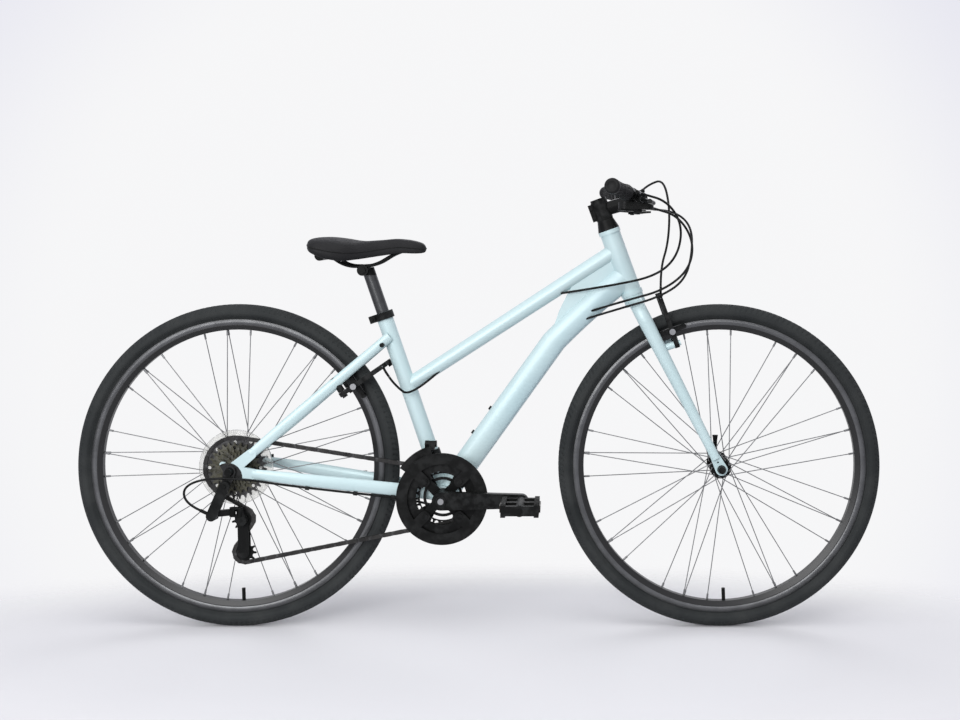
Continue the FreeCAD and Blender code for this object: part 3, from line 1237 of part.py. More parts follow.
low_angle = CAGE_LEAST_ANGLE
high_angle = CAGE_MOST_ANGLE
for _ in range(SOLVE_STEPS):
    cage_angle = (low_angle + high_angle) / 2
    if belt_steps(belt_path(chain_wheels(cage_angle)), CHAIN_LINKS)[1] > 0:
        high_angle = cage_angle
    else:
        low_angle = cage_angle
drive_wheels = chain_wheels(cage_angle)
drive_path = belt_path(drive_wheels)
drive_total = sum(piece[0] for piece in drive_path)
pin_distances, chain_error = belt_steps(drive_path, CHAIN_LINKS)
tension_centre = drive_wheels[3][0]
print("cage angle", cage_angle, "chain closes to", chain_error, "tension pulley", tension_centre)

pins = []
phases = [0] * len(drive_wheels)
wheel_y = (RING_Y[0], SPROCKET_FIRST_Y, SPROCKET_FIRST_Y, SPROCKET_FIRST_Y)
for distance in pin_distances[:-1]:
    point, index, share = belt_point(drive_path, drive_total, distance)
    ease = share * share * (3 - 2 * share)
    y = wheel_y[index] + (wheel_y[(index + 1) % len(wheel_y)] - wheel_y[index]) * ease
    if share == 0:
        phases[index] = flat_angle(point - drive_wheels[index][0])
    pins.append(V(point.x, y, point.z))


def chain_link(outer):
    """One link along X from the origin: two side plates with their bushes, or with their pins."""
    near = CHAIN_INNER_HALF
    if outer:
        near = CHAIN_INNER_HALF + CHAIN_PLATE_T + CHAIN_PLATE_GAP
    far = near + CHAIN_PLATE_T
    end = AHEAD * CHAIN_PITCH
    link = stadium(LEFT * near, end + LEFT * near, PLATE_R, PLATE_R, LEFT * CHAIN_PLATE_T)
    link = link.fuse(stadium(RIGHT * far, end + RIGHT * far, PLATE_R, PLATE_R, LEFT * CHAIN_PLATE_T))
    for eye in (ORIGIN, end):
        if outer:
            half = LEFT * (far + CHAIN_PIN_OVER)
            link = link.fuse(rod(eye - half, eye + half, CHAIN_PIN_R))
        else:
            link = link.fuse(rod(eye + RIGHT * near, eye + LEFT * near, ROLLER_R))
            link = link.cut(rod(eye + RIGHT * far, eye + LEFT * far, CHAIN_PIN_R + CHAIN_PIN_CLEAR))
    return link.removeSplitter()


link_kinds = [chain_link(False), chain_link(True)]
links = []
for index, first in enumerate(pins):
    second = pins[(index + 1) % len(pins)]
    link = link_kinds[index % 2].copy()
    turn = FreeCAD.Rotation(LEFT, -math.degrees(flat_angle(second - first)))
    link.Placement = FreeCAD.Placement(V(first.x, (first.y + second.y) / 2, first.z), turn)
    links.append(link)
save("chain", *links)

# Sprockets on the freewheel

sprockets = []
for index, teeth in enumerate(SPROCKET_TEETH):
    phase = phases[1] if index == 0 else 0
    y = SPROCKET_FIRST_Y - SPROCKET_STEP * index
    sprocket = toothed(REAR, teeth, y, SPROCKET_T, phase, FREEWHEEL_R + SEAT_GAP)
    if index < WINDOWED_SPROCKETS:
        window_at = pitch_radius(teeth) * WINDOW_AT_SHARE - WINDOW_R
        for turn in range(WINDOW_COUNT):
            middle = wheel_point(REAR, window_at, 2 * math.pi * turn / WINDOW_COUNT, y)
            sprocket = sprocket.cut(rod(middle - over, middle + over, WINDOW_R))
    sprockets.append(sprocket)
freewheel = tube(REAR + LEFT * FREEWHEEL_LOW_Y, REAR + LEFT * FREEWHEEL_HIGH_Y, FREEWHEEL_R,
                 AXLE_R + RUN_FIT)
spacers = []
for index in range(len(SPROCKET_TEETH) - 1):
    y = SPROCKET_FIRST_Y - SPROCKET_STEP * index - SPROCKET_T / 2
    end = y - SPROCKET_STEP + SPROCKET_T
    spacers.append(tube(REAR + LEFT * y, REAR + LEFT * end, SPACER_R, FREEWHEEL_R + SEAT_GAP))
save("sprockets", freewheel, *sprockets, *spacers)

# Crank set

spindle = rod(BB + RIGHT * SPINDLE_HALF, BB + LEFT * SPINDLE_HALF, SPINDLE_R)
save("crank_spindle", spindle)


def crank_arm(side, way):
    """One crank arm; side is the way out from the frame and way points along the arm."""
    root = BB + side * CRANK_INNER_Y
    eye = root + way * CRANK_LENGTH
    depth = side * CRANK_T
    arm = stadium(root, eye, CRANK_BOSS_R, CRANK_EYE_R, depth)
    arm = arm.cut(rod(BB, BB + side * SPINDLE_HALF, SPINDLE_R + SEAT_GAP))
    cap = rod(root + depth, root + depth + side * CRANK_CAP_T, CRANK_CAP_R)
    pedal_bore = rod(eye - depth, eye + depth * 2, PEDAL_AXLE_R + SEAT_GAP)
    return arm.cut(pedal_bore), cap, eye


right_arm, right_cap, right_eye = crank_arm(RIGHT, AHEAD)
left_arm, left_cap, left_eye = crank_arm(LEFT, AHEAD * -1)
spider_high = RING_Y[1] - RING_T / 2
spider_low = RING_Y[2] + RING_T / 2
spider_depth = LEFT * (spider_high - spider_low)
spider_base = BB + LEFT * spider_low
spider = rod(BB + LEFT * spider_high, BB + RIGHT * CRANK_INNER_Y, CRANK_BOSS_R)
bolt_angles = [math.pi / 4 + math.pi / 2 * index for index in range(4)]
for angle in bolt_angles:
    tab = wheel_point(BB, SPIDER_BOLT_R, angle, spider_low)
    spider = spider.fuse(stadium(spider_base, tab, CRANK_BOSS_R - SPIDER_ROOT_TRIM, SPIDER_TAB_R,
                                 spider_depth))
right_arm = right_arm.fuse(spider).cut(rod(BB, BB + RIGHT * SPINDLE_HALF,
                                           SPINDLE_R + SEAT_GAP)).removeSplitter()


def sector(radii, angles, y, thick):
    """A flat piece of a ring about the bottom bracket between two radii and two angles in degrees."""
    low, high = [math.radians(angle) for angle in angles]
    middle = (low + high) / 2
    inner = Part.Arc(*[wheel_point(BB, radii[0], angle, y) for angle in (low, middle, high)])
    outer = Part.Arc(*[wheel_point(BB, radii[1], angle, y) for angle in (high, middle, low)])
    tail = Part.LineSegment(inner.EndPoint, outer.StartPoint)
    nose = Part.LineSegment(outer.EndPoint, inner.StartPoint)
    return Part.Face(Part.Wire([item.toShape() for item in (inner, tail, outer, nose)])).extrude(LEFT * thick)


rings = []
for index, (teeth, y, bore_r) in enumerate(zip(RING_TEETH, RING_Y, RING_BORE_R)):
    phase = phases[0] if index == 0 else 0
    ring = toothed(BB, teeth, y, RING_T, phase, bore_r)
    for radii in RING_WINDOWS[index]:
        for middle in RING_WINDOW_ANGLES:
            angles = (middle - RING_WINDOW_HALF_ANGLE, middle + RING_WINDOW_HALF_ANGLE)
            ring = ring.cut(sector(radii, angles, y - RING_T, RING_T * 2))
    rings.append(ring)
ring_bolts = []
guard_out = GUARD_Y - GUARD_T / 2
guard_in = GUARD_Y + GUARD_T / 2
for angle in bolt_angles:
    outer_bolt = rod(wheel_point(BB, SPIDER_BOLT_R, angle, RING_Y[1] + RING_T / 2),
                     wheel_point(BB, SPIDER_BOLT_R, angle, guard_out), RING_BOLT_R)
    head = rod(wheel_point(BB, SPIDER_BOLT_R, angle, guard_out),
               wheel_point(BB, SPIDER_BOLT_R, angle, guard_out - RING_BOLT_HEAD), RING_BOLT_HEAD_R)
    spacer = rod(wheel_point(BB, SPIDER_BOLT_R, angle, guard_in),
                 wheel_point(BB, SPIDER_BOLT_R, angle, RING_Y[2] - RING_T / 2), RING_BOLT_HEAD_R)
    ring_bolts.append(outer_bolt.fuse(head).fuse(spacer).removeSplitter())
    inner_bolt = rod(wheel_point(BB, INNER_BOLT_R, angle, spider_high),
                     wheel_point(BB, INNER_BOLT_R, angle, RING_Y[0] + RING_T / 2), RING_BOLT_R)
    inner_spacer = rod(wheel_point(BB, INNER_BOLT_R, angle, spider_high),
                       wheel_point(BB, INNER_BOLT_R, angle, RING_Y[0] - RING_T / 2),
                       RING_BOLT_HEAD_R - RING_BOLT_HEAD / 2)
    ring_bolts.append(inner_bolt.fuse(inner_spacer).removeSplitter())
guard = tube(BB + LEFT * guard_out, BB + LEFT * guard_in, GUARD_R, GUARD_INNER_R)
for angle in bolt_angles:
    arm_tip = wheel_point(BB, GUARD_INNER_R + GUARD_T, angle, guard_out)
    arm_root = wheel_point(BB, SPIDER_BOLT_R, angle, guard_out)
    guard = guard.fuse(stadium(arm_root, arm_tip, GUARD_ARM_W / 2, GUARD_ARM_W / 2, LEFT * GUARD_T))
for bolt in ring_bolts:
    rings = [ring.cut(bolt) for ring in rings]
    right_arm = right_arm.cut(bolt)
    guard = guard.cut(bolt)
save("chainrings", *rings, *ring_bolts)
save("chain_guard", guard.removeSplitter())

# Pedals on their axles

pedal_axles = []
for side, eye, place in ((RIGHT, right_eye, "right"), (LEFT, left_eye, "left")):
    face = eye + side * CRANK_T
    axle = rod(eye, face + side * PEDAL_AXLE_LENGTH, PEDAL_AXLE_R)
    axle = axle.fuse(rod(face, face + side * PEDAL_FLANGE_T, PEDAL_FLANGE_R)).removeSplitter()
    pedal_axles.append(axle)
    start = face + side * (PEDAL_FLANGE_T + PEDAL_GAP)
    end = start + side * PEDAL_WIDTH
    core = rod(start, end, PEDAL_CORE_R)
    half_l = PEDAL_LENGTH / 2
    half_h = PEDAL_HEIGHT / 2
    cage = None
    for low in (-half_l, half_l - PEDAL_BAR_T):
        corner = V(start.x + low, min(start.y, end.y), start.z - half_h)
        beam = Part.makeBox(PEDAL_BAR_T, PEDAL_WIDTH, PEDAL_HEIGHT, corner)
        pitch = PEDAL_WIDTH / PEDAL_TEETH
        for tooth in range(PEDAL_TEETH):
            for level in (start.z - half_h, start.z + half_h - PEDAL_TOOTH):
                notch_y = corner.y + pitch * (tooth + PEDAL_NOTCH_SHARE / 2)
                notch_corner = V(corner.x - over.Length, notch_y, level)
                notch = Part.makeBox(PEDAL_BAR_T + over.Length * 2, pitch * (1 - PEDAL_NOTCH_SHARE),
                                     PEDAL_TOOTH, notch_corner)
                beam = beam.cut(notch)
        cage = beam if cage is None else cage.fuse(beam)
    for at in (start, end - side * PEDAL_BAR_T, (start + end) * 0.5 - side * (PEDAL_BAR_T / 2)):
        corner = V(at.x - half_l, min(at.y, (at + side * PEDAL_BAR_T).y), at.z - half_h + PEDAL_TOOTH)
        cage = cage.fuse(Part.makeBox(PEDAL_LENGTH, PEDAL_BAR_T, PEDAL_HEIGHT - PEDAL_TOOTH * 2, corner))
    body = cage.fuse(core).cut(rod(eye, face + side * (PEDAL_AXLE_LENGTH + BODY_GAP),
                                   PEDAL_AXLE_R + RUN_FIT)).removeSplitter()
    reflectors = []
    for way in (-1, 1):
        middle = (start + end) * 0.5 + AHEAD * (way * (half_l + PEDAL_REFLECTOR[2] / 2))
        corner = middle - V(PEDAL_REFLECTOR[2], PEDAL_REFLECTOR[0], PEDAL_REFLECTOR[1]) * 0.5
        reflectors.append(Part.makeBox(PEDAL_REFLECTOR[2], PEDAL_REFLECTOR[0], PEDAL_REFLECTOR[1],
                                       corner))
    save(place + "_pedal", body, *reflectors)
save("crank_arms", right_arm, right_cap, left_arm, left_cap, *pedal_axles)

# Rim brakes: an arm on each stud, its pad square to the rim


def brake_frame(centre, angle):
    """The stud's place on the left, the way up the arm and the way out along the stud."""
    turn = math.radians(angle)
    rise = V(math.cos(turn), 0, math.sin(turn))
    outward = V(math.sin(turn), 0, -math.cos(turn))
    return centre + rise * STUD_R + LEFT * STUD_OFFSET, rise, outward


def brake_arm(pivot, rise, outward, lead):
    """A left brake arm with its pad, pad bolt and pinch bolt, or with a noodle that leaves along lead."""
    middle = pivot - outward * (ARM_T / 2)
    top = middle + rise * ARM_LENGTH + RIGHT * (STUD_OFFSET - ARM_TOP_OFFSET)
    arm = stadium(middle, top, ARM_EYE_R, ARM_WIDTH / 2, outward * ARM_T)
    arm = arm.cut(rod(pivot - outward * ARM_T, pivot + outward * ARM_T, STUD_PIN_R + RUN_FIT))
    pad_face = RIM_HALF_W + PAD_GAP
    pad_middle = pivot + rise * PAD_UP + RIGHT * (STUD_OFFSET - pad_face)
    pad_back = pad_middle + LEFT * PAD_T
    pad_start = pad_middle - outward * (PAD_HALF_LENGTH - PAD_HALF_H)
    pad_end = pad_middle + outward * (PAD_HALF_LENGTH - PAD_HALF_H)
    pad = stadium(pad_start, pad_end, PAD_HALF_H, PAD_HALF_H, LEFT * PAD_T)
    arm_lean = (STUD_OFFSET - ARM_TOP_OFFSET) * PAD_UP / ARM_LENGTH
    arm_side = STUD_OFFSET - arm_lean
    nut_at = pivot + rise * PAD_UP + LEFT * (arm_side + ARM_EYE_R - STUD_OFFSET)
    bolt = rod(pad_back, nut_at + LEFT * PAD_NUT_T, PAD_BOLT_R)
    washer = rod(pad_back, pivot + rise * PAD_UP + LEFT * (arm_side - ARM_EYE_R - STUD_OFFSET), PAD_NUT_R)
    nut = rod(nut_at, nut_at + LEFT * PAD_NUT_T, PAD_NUT_R)
    bolt = bolt.fuse(washer).fuse(nut).removeSplitter()
    pieces = [arm.cut(bolt), pad, bolt]
    anchor = top + outward * (ARM_T / 2)
    if lead is None:
        face = anchor + outward * (ARM_T / 2)
        pieces.append(rod(face, face + outward * PINCH_BOLT_T, PINCH_BOLT_R))
        return pieces, anchor
    hook = [anchor + RIGHT * NOODLE_IN, anchor + LEFT * NOODLE_OUT]
    hook.append(hook[1] + lead * (NOODLE_RISE / 2) + LEFT * NOODLE_REACH)
    hook.append(hook[2] + lead * (NOODLE_RISE / 2))
    noodle = bent_rod(hook, NOODLE_R)
    pieces[0] = pieces[0].cut(rod(hook[0], hook[1], NOODLE_R + SEAT_GAP))
    pieces.append(noodle)
    return pieces, hook[-1]


BRAKES = {"front": (FRONT, FRONT_STUD_ANGLE, FRONT_STUD_REACH, leg_outer),
          "rear": (REAR, REAR_STUD_ANGLE, REAR_STUD_REACH, seat_stay_outer)}
studs = {}
brake_wires = {}
noodle_ends = {}
for place, (centre, angle, reach, carrier) in BRAKES.items():
    pivot, rise, outward = brake_frame(centre, angle)
    lead = outward if place == "rear" else UP
    left_set, anchor = brake_arm(pivot, rise, outward, None)
    right_set, noodle_end = brake_arm(pivot, rise, outward, lead)
    save(place + "_left_brake_arm", *left_set)
    save(place + "_right_brake_arm", *[mirrored(piece) for piece in right_set])
    arm_back = pivot - outward * (ARM_T / 2 + BODY_GAP)
    arm_front = pivot + outward * (ARM_T / 2 + BODY_GAP)
    base = rod(pivot - outward * reach, arm_back, STUD_BASE_R).cut(carrier)
    base = max(base.Solids, key=lambda solid: (solid.CenterOfMass - arm_back).Length * -1)
    stud = base.fuse(rod(arm_back - outward * STUD_BASE_BACK, arm_front, STUD_PIN_R))
    stud = stud.fuse(rod(arm_front, arm_front + outward * ARM_BOLT_T, ARM_BOLT_R)).removeSplitter()
    studs[place] = [stud, mirrored(stud)]
    wire_start = mirror_point(anchor + RIGHT * (NOODLE_IN + BODY_GAP))
    wire_end = anchor + RIGHT * (ARM_WIDTH / 2 + BODY_GAP)
    boot_middle = V(anchor.x, 0, anchor.z)
    boot = tube(boot_middle + RIGHT * BOOT_HALF, boot_middle + LEFT * BOOT_HALF, BOOT_R, WIRE_R)
    brake_wires[place] = [rod(wire_start, wire_end, WIRE_R), boot]
    noodle_ends[place] = (mirror_point(noodle_end), lead)
save("fork_blades", leg_left, mirrored(leg_left), fork_tip, mirrored(fork_tip), *studs["front"])

# Rear derailleur

hanger_out = hanger_eye + RIGHT * HANGER_THICK
mech_pivot = V(REAR.x - MECH_PIVOT_BACK, KNUCKLE_REST_Y - MECH_ARM_SIDE, REAR.z - MECH_DOWN)
knuckle_pivot = mech_pivot + V(MECH_ARM_AHEAD, MECH_ARM_SIDE, 0)
guide_out = guide_centre + LEFT * (SPROCKET_FIRST_Y - CAGE_HALF_GAP - CAGE_T)
mech_half = MECH_ARM_HALF_H
ear_near = mech_half + BODY_GAP
ear_far = ear_near + MECH_EAR_T


def mech_fork(pivot, root):
    """Two ears above and below a link's eye, joined to root by a wall, with the pin between them."""
    ears = None
    for level in (ear_near, -ear_far):
        ear = stadium(V(root.x, root.y, pivot.z + level), V(pivot.x, pivot.y, pivot.z + level),
                      MECH_EYE_R, MECH_EYE_R, UP * MECH_EAR_T)
        ears = ear if ears is None else ears.fuse(ear)
    wall = rod(V(root.x, root.y, pivot.z - ear_far), V(root.x, root.y, pivot.z + ear_far), MECH_EYE_R)
    pin = rod(pivot - UP * ear_far, pivot + UP * ear_far, MECH_PIN_R)
    return ears.fuse(wall).fuse(pin)


mech_root = mech_pivot + V(-MECH_ROOT_BACK, -MECH_ROOT_OUT, 0)
mech_body = mech_fork(mech_pivot, mech_root)
body_top = V(hanger_eye.x, hanger_out.y, hanger_eye.z)
body_low = V(mech_root.x, hanger_out.y, mech_root.z)
mech_body = mech_body.fuse(stadium(body_top, body_low, MECH_BODY_R, MECH_BODY_R, RIGHT * MECH_BODY_T))
mech_body = mech_body.fuse(rod(body_low + RIGHT * MECH_BODY_T, V(body_low.x, mech_root.y, body_low.z),
                               MECH_EYE_R))
hanger_bolt = rod(hanger_eye, body_top + RIGHT * (MECH_BODY_T + MECH_BOLT_HEAD), MECH_BOLT_R)
stop_root = body_low + RIGHT * (MECH_BODY_T / 2)
stop_rad = math.radians(MECH_STOP_ANGLE)
stop_way = V(-math.cos(stop_rad), 0, math.sin(stop_rad))
stop_end = stop_root + stop_way * (BARREL_LENGTH + MECH_BODY_R)
mech_body = mech_body.fuse(rod(stop_root, stop_end, BARREL_R)).cut(hanger_bolt).removeSplitter()
save("rear_derailleur_body", mech_body, hanger_bolt)

link_base = mech_pivot - UP * mech_half
mech_link = stadium(link_base, knuckle_pivot - UP * mech_half, MECH_EYE_R, MECH_EYE_R,
                    UP * (mech_half * 2))
for pivot in (mech_pivot, knuckle_pivot):
    mech_link = mech_link.cut(rod(pivot - UP * ear_far, pivot + UP * ear_far, MECH_PIN_R + RUN_FIT))
save("rear_derailleur_link", mech_link)

knuckle_root = knuckle_pivot + V(KNUCKLE_ROOT_AHEAD, KNUCKLE_ROOT_SIDE, 0)
knuckle = mech_fork(knuckle_pivot, knuckle_root)
knuckle_in = guide_out + RIGHT * BODY_GAP
knuckle_out = knuckle_in + RIGHT * KNUCKLE_T
knuckle = knuckle.fuse(rod(knuckle_in, knuckle_out, KNUCKLE_R))
drop_from = V(knuckle_root.x, knuckle_in.y, knuckle_root.z)
knuckle = knuckle.fuse(stadium(drop_from, knuckle_in, MECH_EYE_R, KNUCKLE_R, RIGHT * KNUCKLE_T))
cage_pin_end = knuckle_out + RIGHT * BODY_GAP
knuckle = knuckle.cut(rod(guide_centre, cage_pin_end, PULLEY_PIN_R + RUN_FIT)).removeSplitter()
save("rear_derailleur_knuckle", knuckle)

cage = None
for near in (SPROCKET_FIRST_Y - CAGE_HALF_GAP - CAGE_T, SPROCKET_FIRST_Y + CAGE_HALF_GAP):
    side_plate = stadium(guide_centre + LEFT * near, tension_centre + LEFT * near, CAGE_END_R,
                         CAGE_END_R, LEFT * CAGE_T)
    cage = side_plate if cage is None else cage.fuse(side_plate)
for pivot in (guide_centre, tension_centre):
    end = SPROCKET_FIRST_Y + CAGE_HALF_GAP + CAGE_T
    cage = cage.fuse(rod(pivot + LEFT * (SPROCKET_FIRST_Y - CAGE_HALF_GAP - CAGE_T), pivot + LEFT * end,
                         PULLEY_PIN_R))
cage = cage.fuse(rod(guide_out, knuckle_out, PULLEY_PIN_R)).removeSplitter()
save("rear_derailleur_cage", cage)
for name, pivot, phase in (("guide_pulley", guide_centre, phases[2]),
                           ("tension_pulley", tension_centre, phases[3])):
    save(name, toothed(pivot, PULLEY_TEETH, SPROCKET_FIRST_Y, PULLEY_T, phase, PULLEY_BORE_R))

# Front derailleur: a band on the seat tube and a cage hung from a fore-and-aft pin

band_middle = seat_at(FRONT_MECH_UP)
band = tube(band_middle - SEAT_UP * FRONT_MECH_BAND_HALF, band_middle + SEAT_UP * FRONT_MECH_BAND_HALF,
            SEAT_TUBE_R + SEAT_GAP + FRONT_MECH_BAND_T, SEAT_TUBE_R + SEAT_GAP)
front_pivot = seat_at(FRONT_MECH_PIVOT_UP)
front_pivot = V(front_pivot.x, FRONT_MECH_PIVOT_Y, front_pivot.z)
arm_low = V(band_middle.x, -SEAT_TUBE_R - FRONT_MECH_BAND_T, band_middle.z)
front_block = stadium(arm_low - AHEAD * FRONT_BLOCK_HALF,
                      V(arm_low.x - FRONT_BLOCK_HALF, front_pivot.y, front_pivot.z),
                      FRONT_MECH_BAND_HALF, FRONT_MECH_BAND_HALF, AHEAD * FRONT_BLOCK_T)
front_pin = rod(V(arm_low.x - FRONT_BLOCK_HALF, front_pivot.y, front_pivot.z),
                V(arm_low.x + FRONT_BLOCK_HALF, front_pivot.y, front_pivot.z), FRONT_MECH_PIN_R)
pin_head_at = V(arm_low.x + FRONT_BLOCK_HALF, front_pivot.y, front_pivot.z)
front_pin = front_pin.fuse(rod(pin_head_at, pin_head_at + AHEAD * FRONT_MECH_PIN_R, FRONT_MECH_BAND_HALF))
band = band.fuse(front_block).cut(seat_outer).fuse(front_pin).removeSplitter()
cage_y_in = RING_Y[0] + FRONT_CAGE_IN
cage_y_out = RING_Y[0] - FRONT_CAGE_OUT
cage_radii = (FRONT_CAGE_LOW_R, FRONT_CAGE_HIGH_R)
cage_angles = (FRONT_CAGE_FROM, FRONT_CAGE_TO)
front_cage = sector(cage_radii, cage_angles, cage_y_in, FRONT_CAGE_T)
front_cage = front_cage.fuse(sector(cage_radii, cage_angles, cage_y_out - FRONT_CAGE_T, FRONT_CAGE_T))
hang_x = arm_low.x - FRONT_BLOCK_HALF + FRONT_BLOCK_T + BODY_GAP
hang_depth = AHEAD * (FRONT_BLOCK_HALF * 2 - FRONT_BLOCK_T - BODY_GAP * 2)
cage_top = BB.z + math.sqrt(FRONT_CAGE_HIGH_R ** 2 - (hang_x - BB.x) ** 2)
hang_foot = V(hang_x, cage_y_in + FRONT_CAGE_T / 2, cage_top - FRONT_HANG_SINK)
front_eye = V(hang_x, front_pivot.y, front_pivot.z)
hang = stadium(front_eye, hang_foot, FRONT_MECH_BAND_HALF - BODY_GAP, FRONT_MECH_PIN_R, hang_depth)
bridge_corner = V(hang_x, cage_y_out - FRONT_CAGE_T, hang_foot.z)
bridge = Part.makeBox(hang_depth.Length, cage_y_in - cage_y_out + FRONT_CAGE_T * 2, FRONT_BRIDGE_T,
                      bridge_corner)
front_cage = front_cage.fuse(hang).fuse(bridge)
front_cage = front_cage.cut(rod(front_eye - AHEAD * CUT_OVERRUN,
                                front_eye + hang_depth + AHEAD * CUT_OVERRUN, FRONT_MECH_PIN_R + RUN_FIT))
save("front_derailleur_cage", front_cage.removeSplitter())

# Seat post and saddle

seat_back = SEAT_UP.cross(LEFT)
post_low = seat_at(SEAT_TUBE_LENGTH - POST_IN_TUBE)
clamp_axis = seat_at(SEAT_TUBE_LENGTH + CLAMP_UP)
clamp_at = clamp_axis + seat_back * CLAMP_BACK
rails_left = bent_rod([V(*point) for point in RAIL_LINE], RAIL_R)
rails = [rails_left, mirrored(rails_left)]
post = tube(post_low, clamp_axis, POST_R, POST_R - POST_WALL)
post = post.fuse(rod(clamp_at + RIGHT * CLAMP_HALF_W, clamp_at + LEFT * CLAMP_HALF_W, CLAMP_R))
nut_face = LEFT * (CLAMP_HALF_W + CLAMP_NUT_T)
clamp_bolt = rod(clamp_at - nut_face, clamp_at + nut_face, CLAMP_BOLT_R)
for side in (LEFT, RIGHT):
    face = clamp_at + side * CLAMP_HALF_W
    clamp_bolt = clamp_bolt.fuse(rod(face, face + side * CLAMP_NUT_T, CLAMP_NUT_R))
post = post.cut(clamp_bolt).removeSplitter()
for rail in rails:
    post = post.cut(rail)
post_parts = [solid for solid in post.Solids]
save("seat_post", *post_parts, clamp_bolt.removeSplitter())


def saddle_section(x, half_w, top, low):
    """One cross-section of the saddle: a domed line over a flat underside."""
    right = [V(x, -half_w * wide, low + (top - low) * tall) for wide, tall in SADDLE_SIDE_SHARES]
    left = [mirror_point(point) for point in reversed(right[:-1])]
    dome = Part.BSplineCurve()
    dome.interpolate(right + left)
    return Part.Wire([dome.toShape(), Part.LineSegment(left[-1], right[0]).toShape()])


saddle = loft([saddle_section(*item) for item in SADDLE_STATIONS])
base_sections = []
for x, half_w, top, low in SADDLE_STATIONS[1:-1]:
    side = LEFT * (half_w * SADDLE_BASE_SHARE)
    corner = V(x, 0, low)
    rise = UP * SADDLE_BASE_T
    base_sections.append(Part.makePolygon([corner - side, corner + side, corner + side + rise,
                                           corner - side + rise, corner - side]))
base = loft(base_sections, True)
bumper_at = V(BUMPER_AT[0], 0, BUMPER_AT[1])
base = base.fuse(rod(bumper_at + RIGHT * BUMPER_HALF_W, bumper_at + LEFT * BUMPER_HALF_W,
                     BUMPER_R)).removeSplitter()
pad = saddle.cut(base)
for rail in rails:
    base = base.cut(rail)
    pad = pad.cut(rail)
save("saddle_rails", *rails, max(base.Solids, key=lambda solid: solid.Volume))
save("saddle_pad", max(pad.Solids, key=lambda solid: solid.Volume))

# Cables: housings along their own route, ending at the tubes they enter


def outside(cable, *tubes):
    """The part of a cable that stays outside the frame tubes it enters."""
    for item in tubes:
        cable = cable.cut(item)
    return max(cable.Solids, key=lambda solid: solid.Volume)


def housing(points):
    return bent_rod(points, HOUSING_R)


def cable_line(start, way, line):
    """The route that leaves a barrel along way and then follows a line of places."""
    return [start + way * BODY_GAP, start + way * BARREL_LEAD] + [V(*point) for point in line]


front_end, front_lead = noodle_ends["front"]
rear_end, rear_lead = noodle_ends["rear"]
inward = bar_out * -1
inward_right = mirror_point(inward)
front_points = cable_line(barrel_end, inward, FRONT_BRAKE_LINE)
front_points += [front_end + front_lead * FRONT_BRAKE_END_RUN, front_end + front_lead * BODY_GAP]
front_housing = housing(front_points)
save("front_brake_cable", front_housing, *brake_wires["front"])
rear_points = cable_line(mirror_point(barrel_end), inward_right, REAR_BRAKE_LINE)
rear_fore_housing = outside(housing(rear_points), top_outer)
right_points = cable_line(mirror_point(pod_barrel_end), inward_right, RIGHT_SHIFT_LINE)
right_shift = outside(housing(right_points), down_curve_outer)
left_points = cable_line(pod_barrel_end, inward, LEFT_SHIFT_LINE)
left_shift = outside(housing(left_points), down_curve_outer)
seat_points = [rear_end + rear_lead * BODY_GAP, rear_end + rear_lead * REAR_BRAKE_END_RUN]
seat_points += [V(*SEAT_CROSSING), V(*TOP_TUBE_EXIT)]
rear_aft_housing = outside(housing(seat_points), top_outer)
gear_points = [V(*SHELL_EXIT)]
for ahead, offset, drop in zip(STAY_LINE_AHEADS, STAY_LINE_OFFSETS, STAY_LINE_DROPS):
    gear_points.append(REAR + V(ahead, -offset, -ahead * BB_DROP / BB_AHEAD - drop))
gear_points += [V(*point) for point in GEAR_LOOP]
gear_points += [stop_end + stop_way * GEAR_END_RUN, stop_end + stop_way * BODY_GAP]
gear_housing = housing(gear_points)
save("frame_cables", rear_fore_housing, right_shift, left_shift, rear_aft_housing, gear_housing,
     *brake_wires["rear"])
for name, points in (("front brake", front_points), ("rear brake fore", rear_points),
                     ("right shift", right_points),
                     ("left shift", left_points), ("rear brake aft", seat_points), ("gear", gear_points)):
    print(name, "housing", round(rounded(points).Length), "mm")

# Fittings on the frame

collar_low = seat_at(SEAT_TUBE_LENGTH - COLLAR_HEIGHT)
collar_high = seat_at(SEAT_TUBE_LENGTH)
collar_out = SEAT_TUBE_R + COLLAR_T
lug_length = SEAT_TUBE_R + COLLAR_T + COLLAR_LUG
lug_base = [collar_low + LEFT * COLLAR_LUG_HALF_W, collar_low + RIGHT * COLLAR_LUG_HALF_W]
lug_plate = plate(lug_base + [point + seat_back * lug_length for point in reversed(lug_base)],
                  SEAT_UP * COLLAR_HEIGHT)
collar = rod(collar_low, collar_high, collar_out).fuse(lug_plate).cut(seat_outer)
collar_middle = (collar_low + collar_high) * 0.5 + seat_back * (lug_length - COLLAR_LUG / 2)
collar_side = LEFT * (COLLAR_LUG_HALF_W + COLLAR_BOLT_OVER)
collar_bolt = rod(collar_middle - collar_side, collar_middle + collar_side, COLLAR_BOLT_R)
collar = collar.cut(collar_bolt).removeSplitter()
fittings = [collar, collar_bolt, band, *studs["rear"]]
down_up = down_run.cross(LEFT)
for along in BOTTLE_BOLT_AT:
    face = BB + down_run * along + down_up * (DOWN_TUBE_LOW_SIZE[1] - BOTTLE_BOLT_SINK)
    bolt = rod(face, face + down_up * (BOTTLE_BOLT_T + BOTTLE_BOLT_SINK),
               BOTTLE_BOLT_R).cut(down_straight_outer)
    fittings.append(max(bolt.Solids, key=lambda solid: solid.Volume))
rack_at = V(REAR.x + RACK_BOLT_AHEAD, 0, RACK_BOLT_Z)
rack_bolt = rod(rack_at + LEFT * RACK_BOLT_IN, rack_at + LEFT * RACK_BOLT_OUT,
                RACK_BOLT_R).cut(seat_stay_outer)
rack_bolt = max(rack_bolt.Solids, key=lambda solid: solid.CenterOfMass.y)
